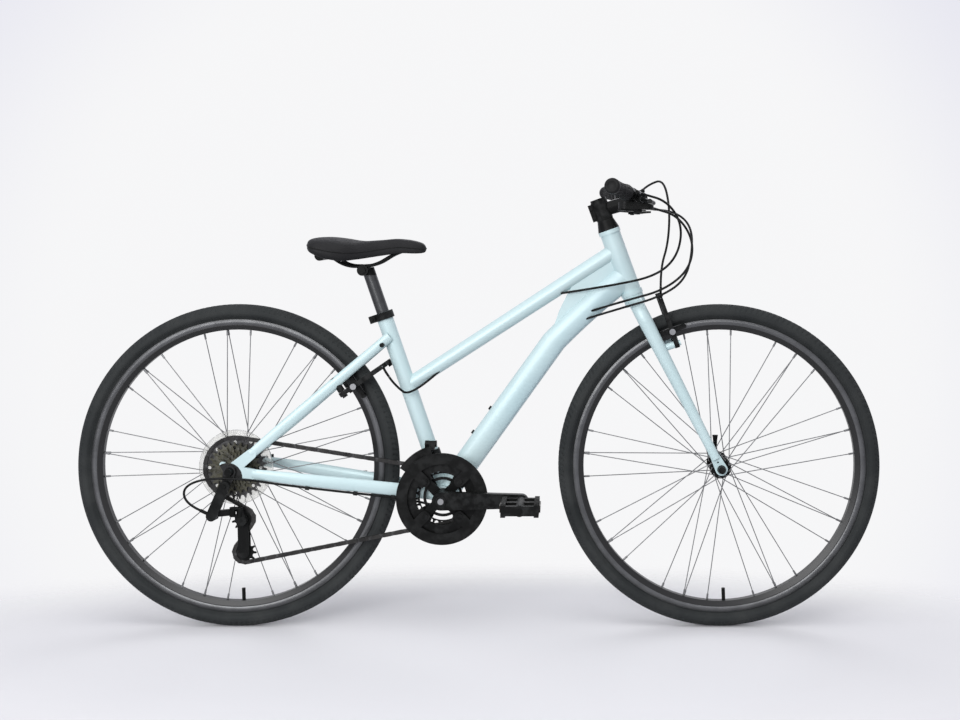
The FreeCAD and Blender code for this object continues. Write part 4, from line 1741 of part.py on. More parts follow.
fittings += [rack_bolt, mirrored(rack_bolt)]
gear_path = rounded(gear_points)
stay_right_outer = mirrored(chain_stay_outer)
for ahead in STAY_CLIP_AHEADS:
    near = gear_path.discretize(Number=CHAIN_LINKS * 4)
    index = min(range(len(near) - 1), key=lambda item: abs(near[item].x - REAR.x - ahead))
    way = unit(near[index + 1] - near[index]) * (STOP_LENGTH / 2)
    clip = rod(near[index] - way, near[index] + way, STOP_R).cut(gear_housing).cut(stay_right_outer)
    fittings.append(max(clip.Solids, key=lambda solid: solid.Volume))
save("frame_fittings", *fittings)
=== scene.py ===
"""A hybrid bike with a low top tube: treads, saddle, grips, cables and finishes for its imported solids."""

import functools
import math

import bmesh
import bpy
from bpy.props import FloatProperty, FloatVectorProperty, IntProperty, PointerProperty
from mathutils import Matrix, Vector


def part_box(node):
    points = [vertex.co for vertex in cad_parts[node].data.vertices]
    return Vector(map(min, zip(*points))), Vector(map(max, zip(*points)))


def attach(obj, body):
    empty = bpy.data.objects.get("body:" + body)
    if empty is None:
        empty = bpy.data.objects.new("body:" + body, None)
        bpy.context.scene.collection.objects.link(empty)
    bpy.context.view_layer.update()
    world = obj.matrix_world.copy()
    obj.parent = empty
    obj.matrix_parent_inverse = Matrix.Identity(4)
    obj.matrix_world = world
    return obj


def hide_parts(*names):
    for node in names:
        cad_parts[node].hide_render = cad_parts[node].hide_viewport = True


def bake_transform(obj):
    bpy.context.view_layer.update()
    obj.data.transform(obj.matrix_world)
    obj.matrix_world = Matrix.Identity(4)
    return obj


bl_info = {
    "name": "Hybrid bike",
    "version": (1, 0, 0),
    "blender": (4, 5, 0),
    "location": "3D View > Sidebar > Bike",
    "description": "Dresses a hybrid bike with treads, saddle, grips, cables and finishes",
    "category": "Object",
}

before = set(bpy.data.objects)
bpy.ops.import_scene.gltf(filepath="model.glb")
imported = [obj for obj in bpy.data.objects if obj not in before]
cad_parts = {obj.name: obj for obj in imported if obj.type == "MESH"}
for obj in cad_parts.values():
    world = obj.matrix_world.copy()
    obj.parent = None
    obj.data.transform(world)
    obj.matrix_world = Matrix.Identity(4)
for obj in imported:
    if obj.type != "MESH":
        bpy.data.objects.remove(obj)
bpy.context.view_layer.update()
MM = 0.001

# Which solids take which finish

PAINTED = ("head_tube", "top_tube", "down_tube", "seat_tube", "bottom_bracket_shell", "chain_stays",
           "seat_stays", "fork_blades", "fork_steerer")
BLACK_ALLOY = ("stem", "handlebar", "front_hub", "rear_hub", "front_axle", "rear_axle",
               "frame_fittings", "left_brake_lever", "right_brake_lever", "front_quick_release_lever",
               "rear_quick_release_lever", "chainrings", "front_derailleur_cage")
BLACK_PLASTIC = ("chain_guard", "left_thumb_lever", "right_thumb_lever", "left_release_trigger",
                 "right_release_trigger", "rear_derailleur_body", "rear_derailleur_link",
                 "rear_derailleur_knuckle", "rear_derailleur_cage", "guide_pulley", "tension_pulley",
                 "saddle_rails", "front_inner_tube", "rear_inner_tube")
GREY_STEEL = ("front_spokes", "rear_spokes", "crank_spindle")

# Wheels

WHEEL_NAMES = ("front", "rear")
CROWN_R = 349 * MM
BELLY_R = 330 * MM
TYRE_HALF_W = 19 * MM
TYRE_NECK = ((16.3 * MM, 324.2 * MM), (12.8 * MM, 321.2 * MM), (9.4 * MM, 318.5 * MM), (9.4 * MM, 311.4 * MM))
TYRE_WALL = 2.6 * MM
TRACK_R = (305.5 * MM, 316.5 * MM)
RIM_HALF_W = 12 * MM

# Black places on painted pieces, and the bare bolt of the near crank

PLATE_AT = (-0.526, -0.07, 0.336)
PLATE_REACH = 31 * MM
SHELL_AT = (-0.074, 0, 0.288)
SHELL_REACH = 70 * MM
CRANK_BOLT_AT = (-0.074, -0.09, 0.288)
CRANK_BOLT_REACH = 6.5 * MM

# Grips: the outer end of the left one, and the knee of the bar that its line runs to

GRIP_END = Vector((280, 316, 947)) * MM
BAR_KNEE = Vector((346, 55, 925)) * MM
GRIP_LENGTH = 128 * MM
GRIP_BORE_R = 11.2 * MM
GRIP_END_R = 13.5 * MM
GRIP_R = 15.5 * MM
GRIP_WAIST_R = 14.2 * MM
GRIP_FLANGE_R = 17 * MM
GRIP_FLANGE_W = 4 * MM

# Seat post: where its brushed finish gives way to the black clamp

POST_CLAMP_Z = (760.5 * MM, 762 * MM)

# Saddle: place along the bike, half width, top and underside of each cross-section, and its side line

SADDLE_STATIONS = ((-368.6, 44, 836.5, 823.5), (-353.6, 76, 842.5, 811.5), (-323.6, 84, 844.5, 799.5),
                   (-287.6, 76, 840.5, 793.5), (-254.6, 55, 835.5, 796.5), (-215.6, 36, 838.5, 802.5),
                   (-174.6, 27, 842, 808.5), (-135.6, 21, 836, 808), (-114.6, 13, 829, 809))
SADDLE_SIDE_SHARES = ((0.93, 0.0), (1.0, 0.16), (1.0, 0.38), (0.95, 0.62), (0.84, 0.8), (0.66, 0.91),
                      (0.45, 0.97), (0.22, 0.995), (0.0, 1.0))

# Cables: the routes of their housings in millimetres

BRAKE_BARREL_END = Vector((341.5, 156.5, 936.4)) * MM
SHIFT_BARREL_END = Vector((367.6, 116.4, 906.9)) * MM
BARREL_GAP = 0.3 * MM
BARREL_LEAD = 16 * MM
FRONT_BRAKE_ROUTE = ((376, 92, 962), (404, 38, 970), (414, -12, 906), (408, -42, 830), (391.2, -56, 779.6),
                     (391.2, -56, 739.9))
REAR_BRAKE_ROUTE = ((400, -138, 920), (432, -128, 870), (424, -106, 806), (384, -72, 764), (300, -42, 742),
                    (178, -12, 722))
RIGHT_SHIFT_ROUTE = ((426, -84, 890), (460, -80, 836), (450, -84, 776), (396, -77, 732), (318, -60, 710),
                     (230, -14, 680))
LEFT_SHIFT_ROUTE = ((430, 60, 900), (462, -2, 868), (458, -58, 806), (440, -68, 750), (386, -60, 716),
                    (312, -48, 694), (216, -14, 662))
SEAT_BRAKE_ROUTE = ((-187.2, -56, 546.5), (-174.9, -56, 528.6), (-144, -25, 498), (-72, -4, 566))
GEAR_ROUTE = ((-84, -22, 262), (-130, -27.5, 278.4), (-331, -54, 306.1), (-437, -67, 322.3),
              (-488, -87, 335.3), (-572, -87, 337), (-617, -87, 318), (-611.3, -86.5, 283.8),
              (-580.7, -86.5, 269.5))
BRAKE_WIRES = {"front": (391.2, 713.6), "rear": (-202.1, 568.2)}
BRAKE_WIRE_HALF = 56 * MM
BRAKE_WIRE_R = 0.9 * MM
BOOT_R = 4.2 * MM
BOOT_HALF = 14 * MM
BOOT_RIBS = 6
BOOT_RIB_SHARES = ((0.1, 0.72), (0.35, 1), (0.65, 1), (0.9, 0.72))
BOOT_SEGMENTS = 24
CURVE_STEPS = 12


class BikeSizes(bpy.types.PropertyGroup):
    """Sizes of the dressed pieces that a user would change."""

    tread_blocks: IntProperty(name="Tread blocks", description="Shoulder blocks around each tyre",
                              default=180, min=40, max=240)
    tread_depth: FloatProperty(name="Tread depth", description="How deep the slots of the tread are cut",
                               default=0.9 * MM, min=0, max=2 * MM, unit="LENGTH", precision=5)
    grip_ribs: IntProperty(name="Grip ribs", description="Rings around each grip", default=17, min=4, max=30)
    rib_depth: FloatProperty(name="Rib depth", description="How deep the gaps between the grip's rings are",
                             default=0.8 * MM, min=0, max=2 * MM, unit="LENGTH", precision=5)
    channel_depth: FloatProperty(name="Channel depth", description="Depth of the hollow along the saddle",
                                 default=3.2 * MM, min=0, max=8 * MM, unit="LENGTH", precision=5)
    housing_r: FloatProperty(name="Housing radius", description="Outer radius of the cable housings",
                             default=2.5 * MM, min=1 * MM, max=4 * MM, unit="LENGTH", precision=5)
    guard_ring_r: FloatProperty(name="Spoke guard", description="Radius of the clear disc by the spokes",
                                default=80 * MM, min=70 * MM, max=90 * MM, unit="LENGTH", precision=5)


def colour(name, description, default):
    """A colour property without alpha."""
    return FloatVectorProperty(name=name, description=description, default=default, subtype="COLOR", size=3,
                               min=0, max=1)


class BikeColours(bpy.types.PropertyGroup):
    """Colours of the finishes."""

    paint: colour("Paint", "Ice blue of the frame and fork", (0.55, 0.705, 0.722))
    # Painted shade: this darker, bluer tone stands for the shaded lower side of the down tube.
    paint_shade: colour("Deep paint", "Bluer tone along the down tube", (0.40, 0.585, 0.645))
    black: colour("Black", "Anodised and moulded black", (0.0055, 0.0058, 0.0056))
    worn_black: colour("Worn black", "Black where hands and edges have rubbed it", (0.035, 0.036, 0.036))
    rubber: colour("Rubber", "Grips and boots", (0.012, 0.012, 0.0122))
    tyre: colour("Tyre", "Greyer rubber of the tyres", (0.027, 0.0298, 0.0304))
    dust: colour("Dust", "Dry dust in the tread", (0.065, 0.068, 0.067))
    steel: colour("Steel", "Bolts and wires", (0.27, 0.275, 0.28))
    spoke: colour("Spokes", "Grey steel of the spokes", (0.19, 0.193, 0.196))
    track: colour("Brake track", "Machined side of the rims", (0.12, 0.1224, 0.1248))
    chain: colour("Chain", "Oiled chain", (0.040, 0.039, 0.037))
    bronze: colour("Bronze sprockets", "Small sprockets", (0.080, 0.077, 0.052))
    lens: colour("Reflector", "Dark reflectors of the pedals", (0.035, 0.03, 0.026))
    cover: colour("Saddle cover", "Grained cover of the saddle", (0.017, 0.017, 0.018))
    clear: colour("Clear plastic", "Disc beside the spokes", (0.86, 0.86, 0.84))
    scuffed: colour("Scuffed plastic", "The same disc where it is scuffed", (0.72, 0.72, 0.70))
    pearl: colour("Pearl", "Bright clouds in the paint", (1, 1, 1))
    floor: colour("Floor", "Pale floor", (0.82, 0.82, 0.845))
    mottle: colour("Floor mottle", "Slow change of tone across the floor", (0.8, 0.8, 0.82))
    backdrop: colour("Backdrop", "Pale surroundings behind the bike", (0.925, 0.925, 0.935))
    # Painted vignette shade: the surroundings turn darker and bluer towards the edges of the view.
    backdrop_vignette_shade: colour("Backdrop edge", "Cooler surroundings off to the sides", (0.80, 0.80, 0.875))


class BikeStage(bpy.types.PropertyGroup):
    """Camera and light."""

    camera_at: FloatVectorProperty(name="Camera", description="Place of the camera", size=3, subtype="XYZ",
                                   default=(0.219, -2.75, 0.88), unit="LENGTH")
    lens: FloatProperty(name="Lens", description="Focal length in millimetres", default=47.44, min=10,
                        max=200)
    shift: FloatVectorProperty(name="Shift", description="Shift of the picture's middle", size=2,
                               default=(-0.104, -0.1455))
    key: FloatProperty(name="Key lamp", description="Power of the broad lamp above", default=47, min=0,
                       unit="POWER")
    fill: FloatProperty(name="Fill lamp", description="Power of the lamp beside the camera", default=96,
                        min=0, unit="POWER")
    sky: FloatProperty(name="Surround", description="Strength of the light from all round", default=0.42,
                       min=0)


class Wiring:
    """Places nodes in one tree. A value given to a socket is linked if it is one too, and else set."""

    def __init__(self, tree):
        self.tree = tree

    def put(self, socket, value):
        if isinstance(value, bpy.types.NodeSocket):
            self.tree.links.new(value, socket)
        else:
            socket.default_value = value

    def node(self, kind, inputs=None, **settings):
        made = self.tree.nodes.new(kind)
        for name, value in settings.items():
            setattr(made, name, value)
        for name, value in (inputs or {}).items():
            self.put(made.inputs[name], value)
        return made

    def math(self, operation, first, second=0.0, clamp=False):
        made = self.node("ShaderNodeMath", operation=operation, use_clamp=clamp)
        self.put(made.inputs[0], first)
        self.put(made.inputs[1], second)
        return made.outputs[0]

    def mix(self, factor, first, second):
        """One colour turning into another as the factor goes from 0 to 1."""
        tones = [tone if isinstance(tone, bpy.types.NodeSocket) else (*tone, 1.0) for tone in (first, second)]
        return self.turn("RGBA", factor, *tones)

    def blend(self, factor, first, second):
        """One number turning into another as the factor goes from 0 to 1."""
        return self.turn("FLOAT", factor, first, second)

    def turn(self, kind, factor, first, second):
        made = self.node("ShaderNodeMix", data_type=kind)
        for name, value in (("Factor", factor), ("A", first), ("B", second)):
            self.put(made.inputs[name], value)
        return made.outputs["Result"]

    def vector(self, operation, first, second=None):
        """The outputs of a sum with vectors."""
        made = self.node("ShaderNodeVectorMath", operation=operation)
        self.put(made.inputs[0], first)
        if second is not None:
            self.put(made.inputs[1], second)
        return made.outputs

    def place(self):
        """The place on the object, in metres."""
        return self.node("ShaderNodeTexCoord").outputs["Object"]

    def axes(self, place=None):
        """The three parts of a place."""
        return self.node("ShaderNodeSeparateXYZ", {"Vector": place or self.place()}).outputs

    def ramp(self, value, low, high):
        """0 at low and 1 at high, smoothly."""
        made = self.node("ShaderNodeMapRange", {"Value": value, "From Min": low, "From Max": high},
                         interpolation_type="SMOOTHSTEP")
        return made.outputs["Result"]

    def noise(self, scale, detail=3.0, roughness=0.55):
        made = self.node("ShaderNodeTexNoise", {"Vector": self.place(), "Scale": scale, "Detail": detail,
                                                "Roughness": roughness})
        return made.outputs["Fac"]

    def group(self, tree, **inputs):
        made = self.node("ShaderNodeGroup", node_tree=tree)
        for name, value in inputs.items():
            self.put(made.inputs[name.replace("_", " ").capitalize()], value)
        return made.outputs


def effect(name, inputs, outputs):
    """An empty node group with float or vector inputs and value outputs, its wiring, and its two ends."""
    tree = bpy.data.node_groups.new(name, "ShaderNodeTree")
    for label, kind in inputs.items():
        tree.interface.new_socket(label, in_out="INPUT", socket_type=kind)
    for label in outputs:
        tree.interface.new_socket(label, in_out="OUTPUT", socket_type="NodeSocketFloat")
    wiring = Wiring(tree)
    given = wiring.node("NodeGroupInput").outputs
    result = wiring.node("NodeGroupOutput").inputs
    return tree, wiring, given, result


FLOAT = "NodeSocketFloat"
POINT = "NodeSocketVector"


def fine_grain():
    """Moulded or cast texture: small bumps and a slow change of tone."""
    tree, wiring, given, result = effect("fine grain", {"Scale": FLOAT}, ("Height", "Tone"))
    speckle = wiring.noise(given["Scale"], 2.0, 0.6)
    pebble = wiring.node("ShaderNodeTexVoronoi", {"Vector": wiring.place(), "Scale": given["Scale"]})
    wiring.put(result["Height"], wiring.math("ADD", wiring.math("MULTIPLY", speckle, 0.6),
                                             wiring.math("MULTIPLY", pebble.outputs["Distance"], 0.4)))
    slow = wiring.noise(wiring.math("MULTIPLY", given["Scale"], 0.02), 4.0)
    wiring.put(result["Tone"], wiring.ramp(slow, 0.32, 0.68))
    return tree


def edge_wear():
    """Rubbed edges: strongest on sharp outer edges, broken up by patches."""
    tree, wiring, given, result = effect("edge wear", {"Amount": FLOAT, "Patch scale": FLOAT}, ("Mask",))
    sharp = wiring.node("ShaderNodeNewGeometry").outputs["Pointiness"]
    edge = wiring.ramp(sharp, 0.52, 0.62)
    patch = wiring.ramp(wiring.noise(given["Patch scale"], 5.0), 0.38, 0.66)
    wiring.put(result["Mask"], wiring.math("MULTIPLY", wiring.math("MULTIPLY", edge, patch), given["Amount"],
                                           clamp=True))
    return tree


def smudges():
    """Slow patches left by hands and wiping."""
    tree, wiring, given, result = effect("smudges", {"Scale": FLOAT}, ("Mask",))
    broad = wiring.noise(given["Scale"], 4.0, 0.6)
    wiring.put(result["Mask"], wiring.ramp(broad, 0.34, 0.7))
    return tree


def wheel_band():
    """A ring about an axle that lies along Y: 1 between two radii."""
    tree, wiring, given, result = effect("wheel band", {"Centre": POINT, "Inner": FLOAT, "Outer": FLOAT,
                                                        "Softness": FLOAT}, ("Mask", "Radius"))
    parts = wiring.axes(wiring.vector("SUBTRACT", wiring.place(), given["Centre"])["Vector"])
    flat = wiring.node("ShaderNodeCombineXYZ", {"X": parts["X"], "Z": parts["Z"]})
    radius = wiring.vector("LENGTH", flat.outputs["Vector"])["Value"]
    inside = wiring.ramp(radius, wiring.math("SUBTRACT", given["Inner"], given["Softness"]), given["Inner"])
    past = wiring.ramp(radius, given["Outer"], wiring.math("ADD", given["Outer"], given["Softness"]))
    wiring.put(result["Mask"], wiring.math("SUBTRACT", inside, past, clamp=True))
    wiring.put(result["Radius"], radius)
    return tree


def near_place():
    """1 inside a ball about a place, for bolts and other small fittings of one solid."""
    tree, wiring, given, result = effect("near place", {"Place": POINT, "Reach": FLOAT}, ("Mask",))
    gap = wiring.vector("DISTANCE", wiring.place(), given["Place"])["Value"]
    wiring.put(result["Mask"], wiring.math("LESS_THAN", gap, given["Reach"]))
    return tree


class Finish(Wiring):
    """A new material: its wiring, and its shader with the values that are the same all over."""

    LABELS = {"specular": "Specular IOR Level", "metallic": "Metallic", "coat": "Coat Weight",
              "coat_roughness": "Coat Roughness", "transmission": "Transmission Weight", "ior": "IOR"}

    def __init__(self, name, **plain):
        self.material = bpy.data.materials.new(name)
        self.material.use_nodes = True
        super().__init__(self.material.node_tree)
        self.shader = self.tree.nodes["Principled BSDF"].inputs
        for label, value in plain.items():
            self.shader[self.LABELS[label]].default_value = value

    def colour(self, factor, first, second):
        """Turns the colour of the surface from one into another."""
        self.put(self.shader["Base Color"], self.mix(factor, first, second))

    def roughness(self, factor, first, second):
        """Turns its roughness from one into another."""
        self.put(self.shader["Roughness"], self.blend(factor, first, second))

    def metal(self, factor, first, second):
        """Turns how much of a metal it is from one into another."""
        self.put(self.shader["Metallic"], self.blend(factor, first, second))

    def bumps(self, height, strength, depth):
        """Bumps the surface by a height from 0 to 1, depth metres deep."""
        bump = self.node("ShaderNodeBump", {"Height": height, "Strength": strength, "Distance": depth})
        self.put(self.shader["Normal"], bump.outputs["Normal"])


# Finishes: shine, depths of the bumps, and places where one tone gives way to another

BLACK_SPECULAR = 0.09
STEEL_SPECULAR = 0.5
FLAKE_DEPTH = 0.04 * MM
SCUFF_DEPTH = 0.06 * MM
GRAIN_DEPTH = 0.08 * MM
STIPPLE_DEPTH = 0.12 * MM
FACET_DEPTH = 0.15 * MM
CREASE_DEPTH = 0.18 * MM
MOULD_DEPTH = 0.2 * MM
TRACK_DEPTH = 6 * MM
TRACK_SOFTNESS = 0.4 * MM
TRACK_SIDE_SHARES = (0.9, 0.97)
WALL_R = (311 * MM, 340 * MM)
WALL_SOFTNESS = 2 * MM
LARGEST_SPROCKET_Y = (-37 * MM, -35.5 * MM)
LENS_DEPTH = 2.5 * MM
# Painted shade on the lower side of the down tube: the slope and lean of its edge, and where it fades out at
# the back and at the head.
SHADE_SLOPE = 1.25
SHADE_LEAN = (-460 * MM, -340 * MM)
SHADE_BACK_X = (-20 * MM, 120 * MM)
SHADE_FRONT_X = (270 * MM, 340 * MM)
PAINT_SHINE = {"metallic": 0.08, "specular": 0.3, "coat": 0.2, "coat_roughness": 0.16}


class Finishes:
    """The finishes of the bike, each made once from the colours in the sidebar."""

    def __init__(self, colours):
        self.colours = colours
        self.grain = fine_grain()
        self.wear = edge_wear()
        self.smudge = smudges()
        self.band = wheel_band()
        self.near = near_place()
        self.made = {}

    def once(self, kind):
        """A finish that several pieces share, made at its first use."""
        if kind not in self.made:
            self.made[kind] = getattr(self, kind)()
        return self.made[kind]

    def smudged(self, name, tone, scale, share, roughness, specular=BLACK_SPECULAR, metallic=0.0):
        """A finish that turns by a share to the worn tone, and to another roughness, in its smudges."""
        finish = Finish(name, specular=specular, metallic=metallic)
        smudge = finish.group(self.smudge, scale=scale)["Mask"]
        finish.colour(finish.math("MULTIPLY", smudge, share), tone, self.colours.worn_black)
        finish.roughness(smudge, *roughness)
        return finish

    def rubbed(self, name, patch_scale, grain_scale, amount=0.5):
        """A black finish, paler on its edges. Also gives its black and its grain."""
        finish = Finish(name, specular=BLACK_SPECULAR)
        edges = finish.group(self.wear, amount=amount, patch_scale=patch_scale)["Mask"]
        black = finish.mix(edges, self.colours.black, self.colours.worn_black)
        finish.put(finish.shader["Base Color"], black)
        return finish, black, finish.group(self.grain, scale=grain_scale)

    def paint(self):
        """Pearl ice blue under a clear coat, with painted shade in a darker, bluer tone low on the down tube.
        """
        return self.coated("ice blue paint")

    def dropouts(self):
        """The same paint, with a black plate about the near end of the rear axle."""
        return self.coated("ice blue dropouts", PLATE_AT, PLATE_REACH)

    def cups(self):
        """The same paint on the head's bearing cups, and black on those of the crank."""
        return self.coated("ice blue cups", SHELL_AT, SHELL_REACH)

    def coated(self, name, black_at=None, reach=0.0):
        """Pearl paint with painted shade low on the down tube, black within reach of a place."""
        finish = Finish(name, **PAINT_SHINE)
        parts = finish.axes()
        # Painted shade: below a sloping line, between the crank and the head, the paint turns towards the
        # darker, bluer shade tone.
        lean = finish.math("SUBTRACT", finish.math("MULTIPLY", parts["X"], SHADE_SLOPE), parts["Z"])
        shaded_low_side = finish.math("MULTIPLY", finish.ramp(lean, *SHADE_LEAN),
                               finish.ramp(parts["X"], *SHADE_BACK_X))
        behind_head = finish.math("SUBTRACT", 1.0, finish.ramp(parts["X"], *SHADE_FRONT_X))
        painted_shade = finish.math("MULTIPLY", shaded_low_side, behind_head)
        cloud = finish.group(self.smudge, scale=9.0)["Mask"]
        tone = finish.mix(finish.math("MULTIPLY", painted_shade, 0.55), self.colours.paint, self.colours.paint_shade)
        tone = finish.mix(finish.math("MULTIPLY", cloud, 0.06), tone, self.colours.pearl)
        if black_at:
            black = finish.group(self.near, place=black_at, reach=reach)["Mask"]
            tone = finish.mix(black, tone, self.colours.black)
        finish.put(finish.shader["Base Color"], tone)
        finish.roughness(cloud, 0.36, 0.46)
        finish.bumps(finish.noise(2600.0, 1.0), strength=0.12, depth=FLAKE_DEPTH)
        return finish.material

    def alloy(self):
        """Satin black anodised alloy, rubbed on its edges."""
        finish, _, grain = self.rubbed("satin black alloy", patch_scale=60.0, grain_scale=1600.0)
        handled = finish.group(self.smudge, scale=22.0)["Mask"]
        finish.roughness(handled, 0.30, 0.43)
        finish.bumps(grain["Height"], strength=0.15, depth=GRAIN_DEPTH)
        return finish.material

    def post(self):
        """Brushed dark alloy of the seat post, black at its clamp."""
        finish = Finish("brushed dark alloy", specular=BLACK_SPECULAR)
        dull = finish.group(self.smudge, scale=40.0)["Mask"]
        clamp = finish.ramp(finish.axes()["Z"], *POST_CLAMP_Z)
        brushed = finish.mix(finish.blend(dull, 0.5, 0.8), self.colours.track, self.colours.worn_black)
        finish.colour(clamp, brushed, self.colours.black)
        finish.metal(clamp, 0.85, 0.0)
        finish.roughness(dull, 0.28, 0.40)
        finish.bumps(finish.noise(2200.0, 2.0), strength=0.12, depth=FLAKE_DEPTH)
        return finish.material

    def plastic(self):
        """Moulded black plastic with a fine stipple."""
        finish, _, grain = self.rubbed("moulded black plastic", patch_scale=45.0, grain_scale=900.0,
                                         amount=0.35)
        finish.roughness(grain["Tone"], 0.40, 0.54)
        finish.bumps(grain["Height"], strength=0.25, depth=STIPPLE_DEPTH)
        return finish.material

    def steel(self):
        """Bright steel of the bare wires."""
        return self.drawn("drawn steel", self.colours.steel, 0.9)

    def spokes(self):
        """Greyer steel of the spokes."""
        return self.drawn("spoke steel", self.colours.spoke, 0.3)

    def drawn(self, name, tone, metallic):
        """Drawn steel with fine lines and dull patches."""
        finish = self.smudged(name, tone, scale=70.0, share=0.35, roughness=(0.24, 0.40),
                              specular=STEEL_SPECULAR, metallic=metallic)
        finish.bumps(finish.noise(2200.0, 2.0), strength=0.12, depth=FLAKE_DEPTH)
        return finish.material

    def chain(self):
        """Oiled chain: dark between the plates, brighter on rubbed edges."""
        finish = Finish("oiled chain", metallic=0.75)
        rubbed = finish.group(self.wear, amount=0.22, patch_scale=180.0)["Mask"]
        oil = finish.group(self.smudge, scale=26.0)["Mask"]
        worn = finish.mix(rubbed, self.colours.chain, self.colours.steel)
        finish.colour(finish.math("MULTIPLY", oil, 0.5), worn, self.colours.black)
        finish.roughness(oil, 0.42, 0.24)
        finish.bumps(finish.noise(900.0), strength=0.1, depth=FLAKE_DEPTH)
        return finish.material

    def rim(self, place, centre):
        """Black rim whose brake track is machined bare, with turning marks."""
        finish = Finish(place + " rim finish")
        inner, outer = TRACK_R
        track = finish.group(self.band, centre=centre, inner=inner, outer=outer, softness=TRACK_SOFTNESS)
        side = finish.ramp(finish.math("ABSOLUTE", finish.axes()["Y"]),
                           *[RIM_HALF_W * share for share in TRACK_SIDE_SHARES])
        bare = finish.math("MULTIPLY", track["Mask"], side)
        rings = finish.node("ShaderNodeTexNoise", {"W": finish.math("MULTIPLY", track["Radius"], 3000.0),
                                                   "Scale": 1.0, "Detail": 2.0}, noise_dimensions="1D")
        turned = rings.outputs["Fac"]
        stain = finish.group(self.smudge, scale=30.0)["Mask"]
        alloy = finish.mix(finish.math("MULTIPLY", stain, 0.35), self.colours.track, self.colours.worn_black)
        finish.colour(bare, self.colours.black, alloy)
        finish.metal(bare, 0.15, 0.85)
        finish.roughness(bare, 0.36, finish.blend(turned, 0.26, 0.46))
        across = finish.node("ShaderNodeMapRange", {"Value": track["Radius"], "From Min": inner,
                                                    "From Max": outer}).outputs["Result"]
        dome = finish.math("MULTIPLY", across, finish.math("SUBTRACT", 1.0, across))
        marks = finish.math("ADD", dome, finish.math("MULTIPLY", turned, 0.02))
        finish.bumps(finish.math("MULTIPLY", marks, bare), strength=1.0, depth=TRACK_DEPTH)
        return finish.material

    def sprockets(self):
        """Dark large sprocket and bronze small ones, by their place along the axle."""
        finish = Finish("sprocket steel", metallic=0.8)
        largest = finish.ramp(finish.axes()["Y"], *LARGEST_SPROCKET_Y)
        oil = finish.group(self.smudge, scale=34.0)["Mask"]
        rubbed = finish.group(self.wear, amount=0.18, patch_scale=150.0)["Mask"]
        base = finish.mix(largest, self.colours.bronze, self.colours.chain)
        oiled = finish.mix(finish.math("MULTIPLY", oil, 0.45), base, self.colours.black)
        finish.colour(rubbed, oiled, self.colours.steel)
        finish.roughness(oil, 0.40, 0.28)
        finish.bumps(finish.noise(700.0), strength=0.15, depth=SCUFF_DEPTH)
        return finish.material

    def bolted(self, name, bolts):
        """Black alloy with bare steel bolts at the given places."""
        finish, black, grain = self.rubbed(name + " finish", patch_scale=70.0, grain_scale=1300.0)
        bare = 0.0
        for place, reach in bolts:
            bare = finish.math("MAXIMUM", finish.group(self.near, place=place, reach=reach)["Mask"], bare)
        finish.colour(bare, black, self.colours.steel)
        finish.metal(bare, 0.2, 0.85)
        finish.roughness(grain["Tone"], 0.34, 0.46)
        finish.bumps(grain["Height"], strength=0.15, depth=GRAIN_DEPTH)
        return finish.material

    def pedal(self, name, low, high):
        """Black pedal with a dark reflector in its front and back edge."""
        finish, black, grain = self.rubbed(name + " finish", patch_scale=50.0, grain_scale=800.0)
        along = finish.axes()["X"]
        lens = finish.math("MAXIMUM", finish.math("GREATER_THAN", along, high - LENS_DEPTH),
                           finish.math("LESS_THAN", along, low + LENS_DEPTH))
        facets = finish.node("ShaderNodeTexVoronoi", {"Vector": finish.place(), "Scale": 420.0})
        finish.colour(lens, black, self.colours.lens)
        finish.roughness(lens, finish.blend(grain["Tone"], 0.42, 0.56), 0.12)
        height = finish.blend(lens, grain["Height"], facets.outputs["Distance"])
        finish.bumps(height, strength=0.3, depth=FACET_DEPTH)
        return finish.material

    def tyre(self):
        """Tyre rubber with dry dust in the tread and faint moulding lines on the side."""
        finish = Finish("tyre rubber", specular=BLACK_SPECULAR)
        walls = finish.group(self.band, centre=(0, 0, 0), inner=WALL_R[0], outer=WALL_R[1],
                             softness=WALL_SOFTNESS)
        lines = finish.math("SINE", finish.math("MULTIPLY", walls["Radius"], 4200.0))
        grain = finish.group(self.grain, scale=700.0)
        dusty = finish.math("MULTIPLY", finish.group(self.smudge, scale=14.0)["Mask"], 0.35)
        finish.colour(dusty, self.colours.tyre, self.colours.dust)
        finish.roughness(grain["Tone"], 0.60, 0.76)
        ridge = finish.math("MULTIPLY", finish.math("MULTIPLY", lines, walls["Mask"]), 0.5)
        height = finish.math("ADD", ridge, finish.math("MULTIPLY", grain["Height"], 0.5))
        finish.bumps(height, strength=0.35, depth=MOULD_DEPTH)
        return finish.material

    def rubber(self):
        """Soft matt rubber of the grips and boots."""
        finish = self.smudged("soft rubber", self.colours.rubber, scale=28.0, share=0.2,
                              roughness=(0.66, 0.48))
        finish.bumps(finish.group(self.grain, scale=1100.0)["Height"], strength=0.3, depth=STIPPLE_DEPTH)
        return finish.material

    def cover(self):
        """Grained saddle cover, smoother in patches."""
        finish = self.smudged("grained saddle cover", self.colours.cover, scale=16.0, share=0.16,
                              roughness=(0.56, 0.44))
        cells = finish.node("ShaderNodeTexVoronoi", {"Vector": finish.place(), "Scale": 620.0},
                            feature="DISTANCE_TO_EDGE").outputs["Distance"]
        finish.bumps(finish.ramp(cells, 0.0, 0.22), strength=0.35, depth=CREASE_DEPTH)
        return finish.material

    def housing(self):
        """Glossy dark cable housing."""
        finish = self.smudged("cable housing", self.colours.black, scale=40.0, share=0.4,
                              roughness=(0.30, 0.46))
        finish.bumps(finish.group(self.grain, scale=1400.0)["Height"], strength=0.1, depth=SCUFF_DEPTH)
        return finish.material

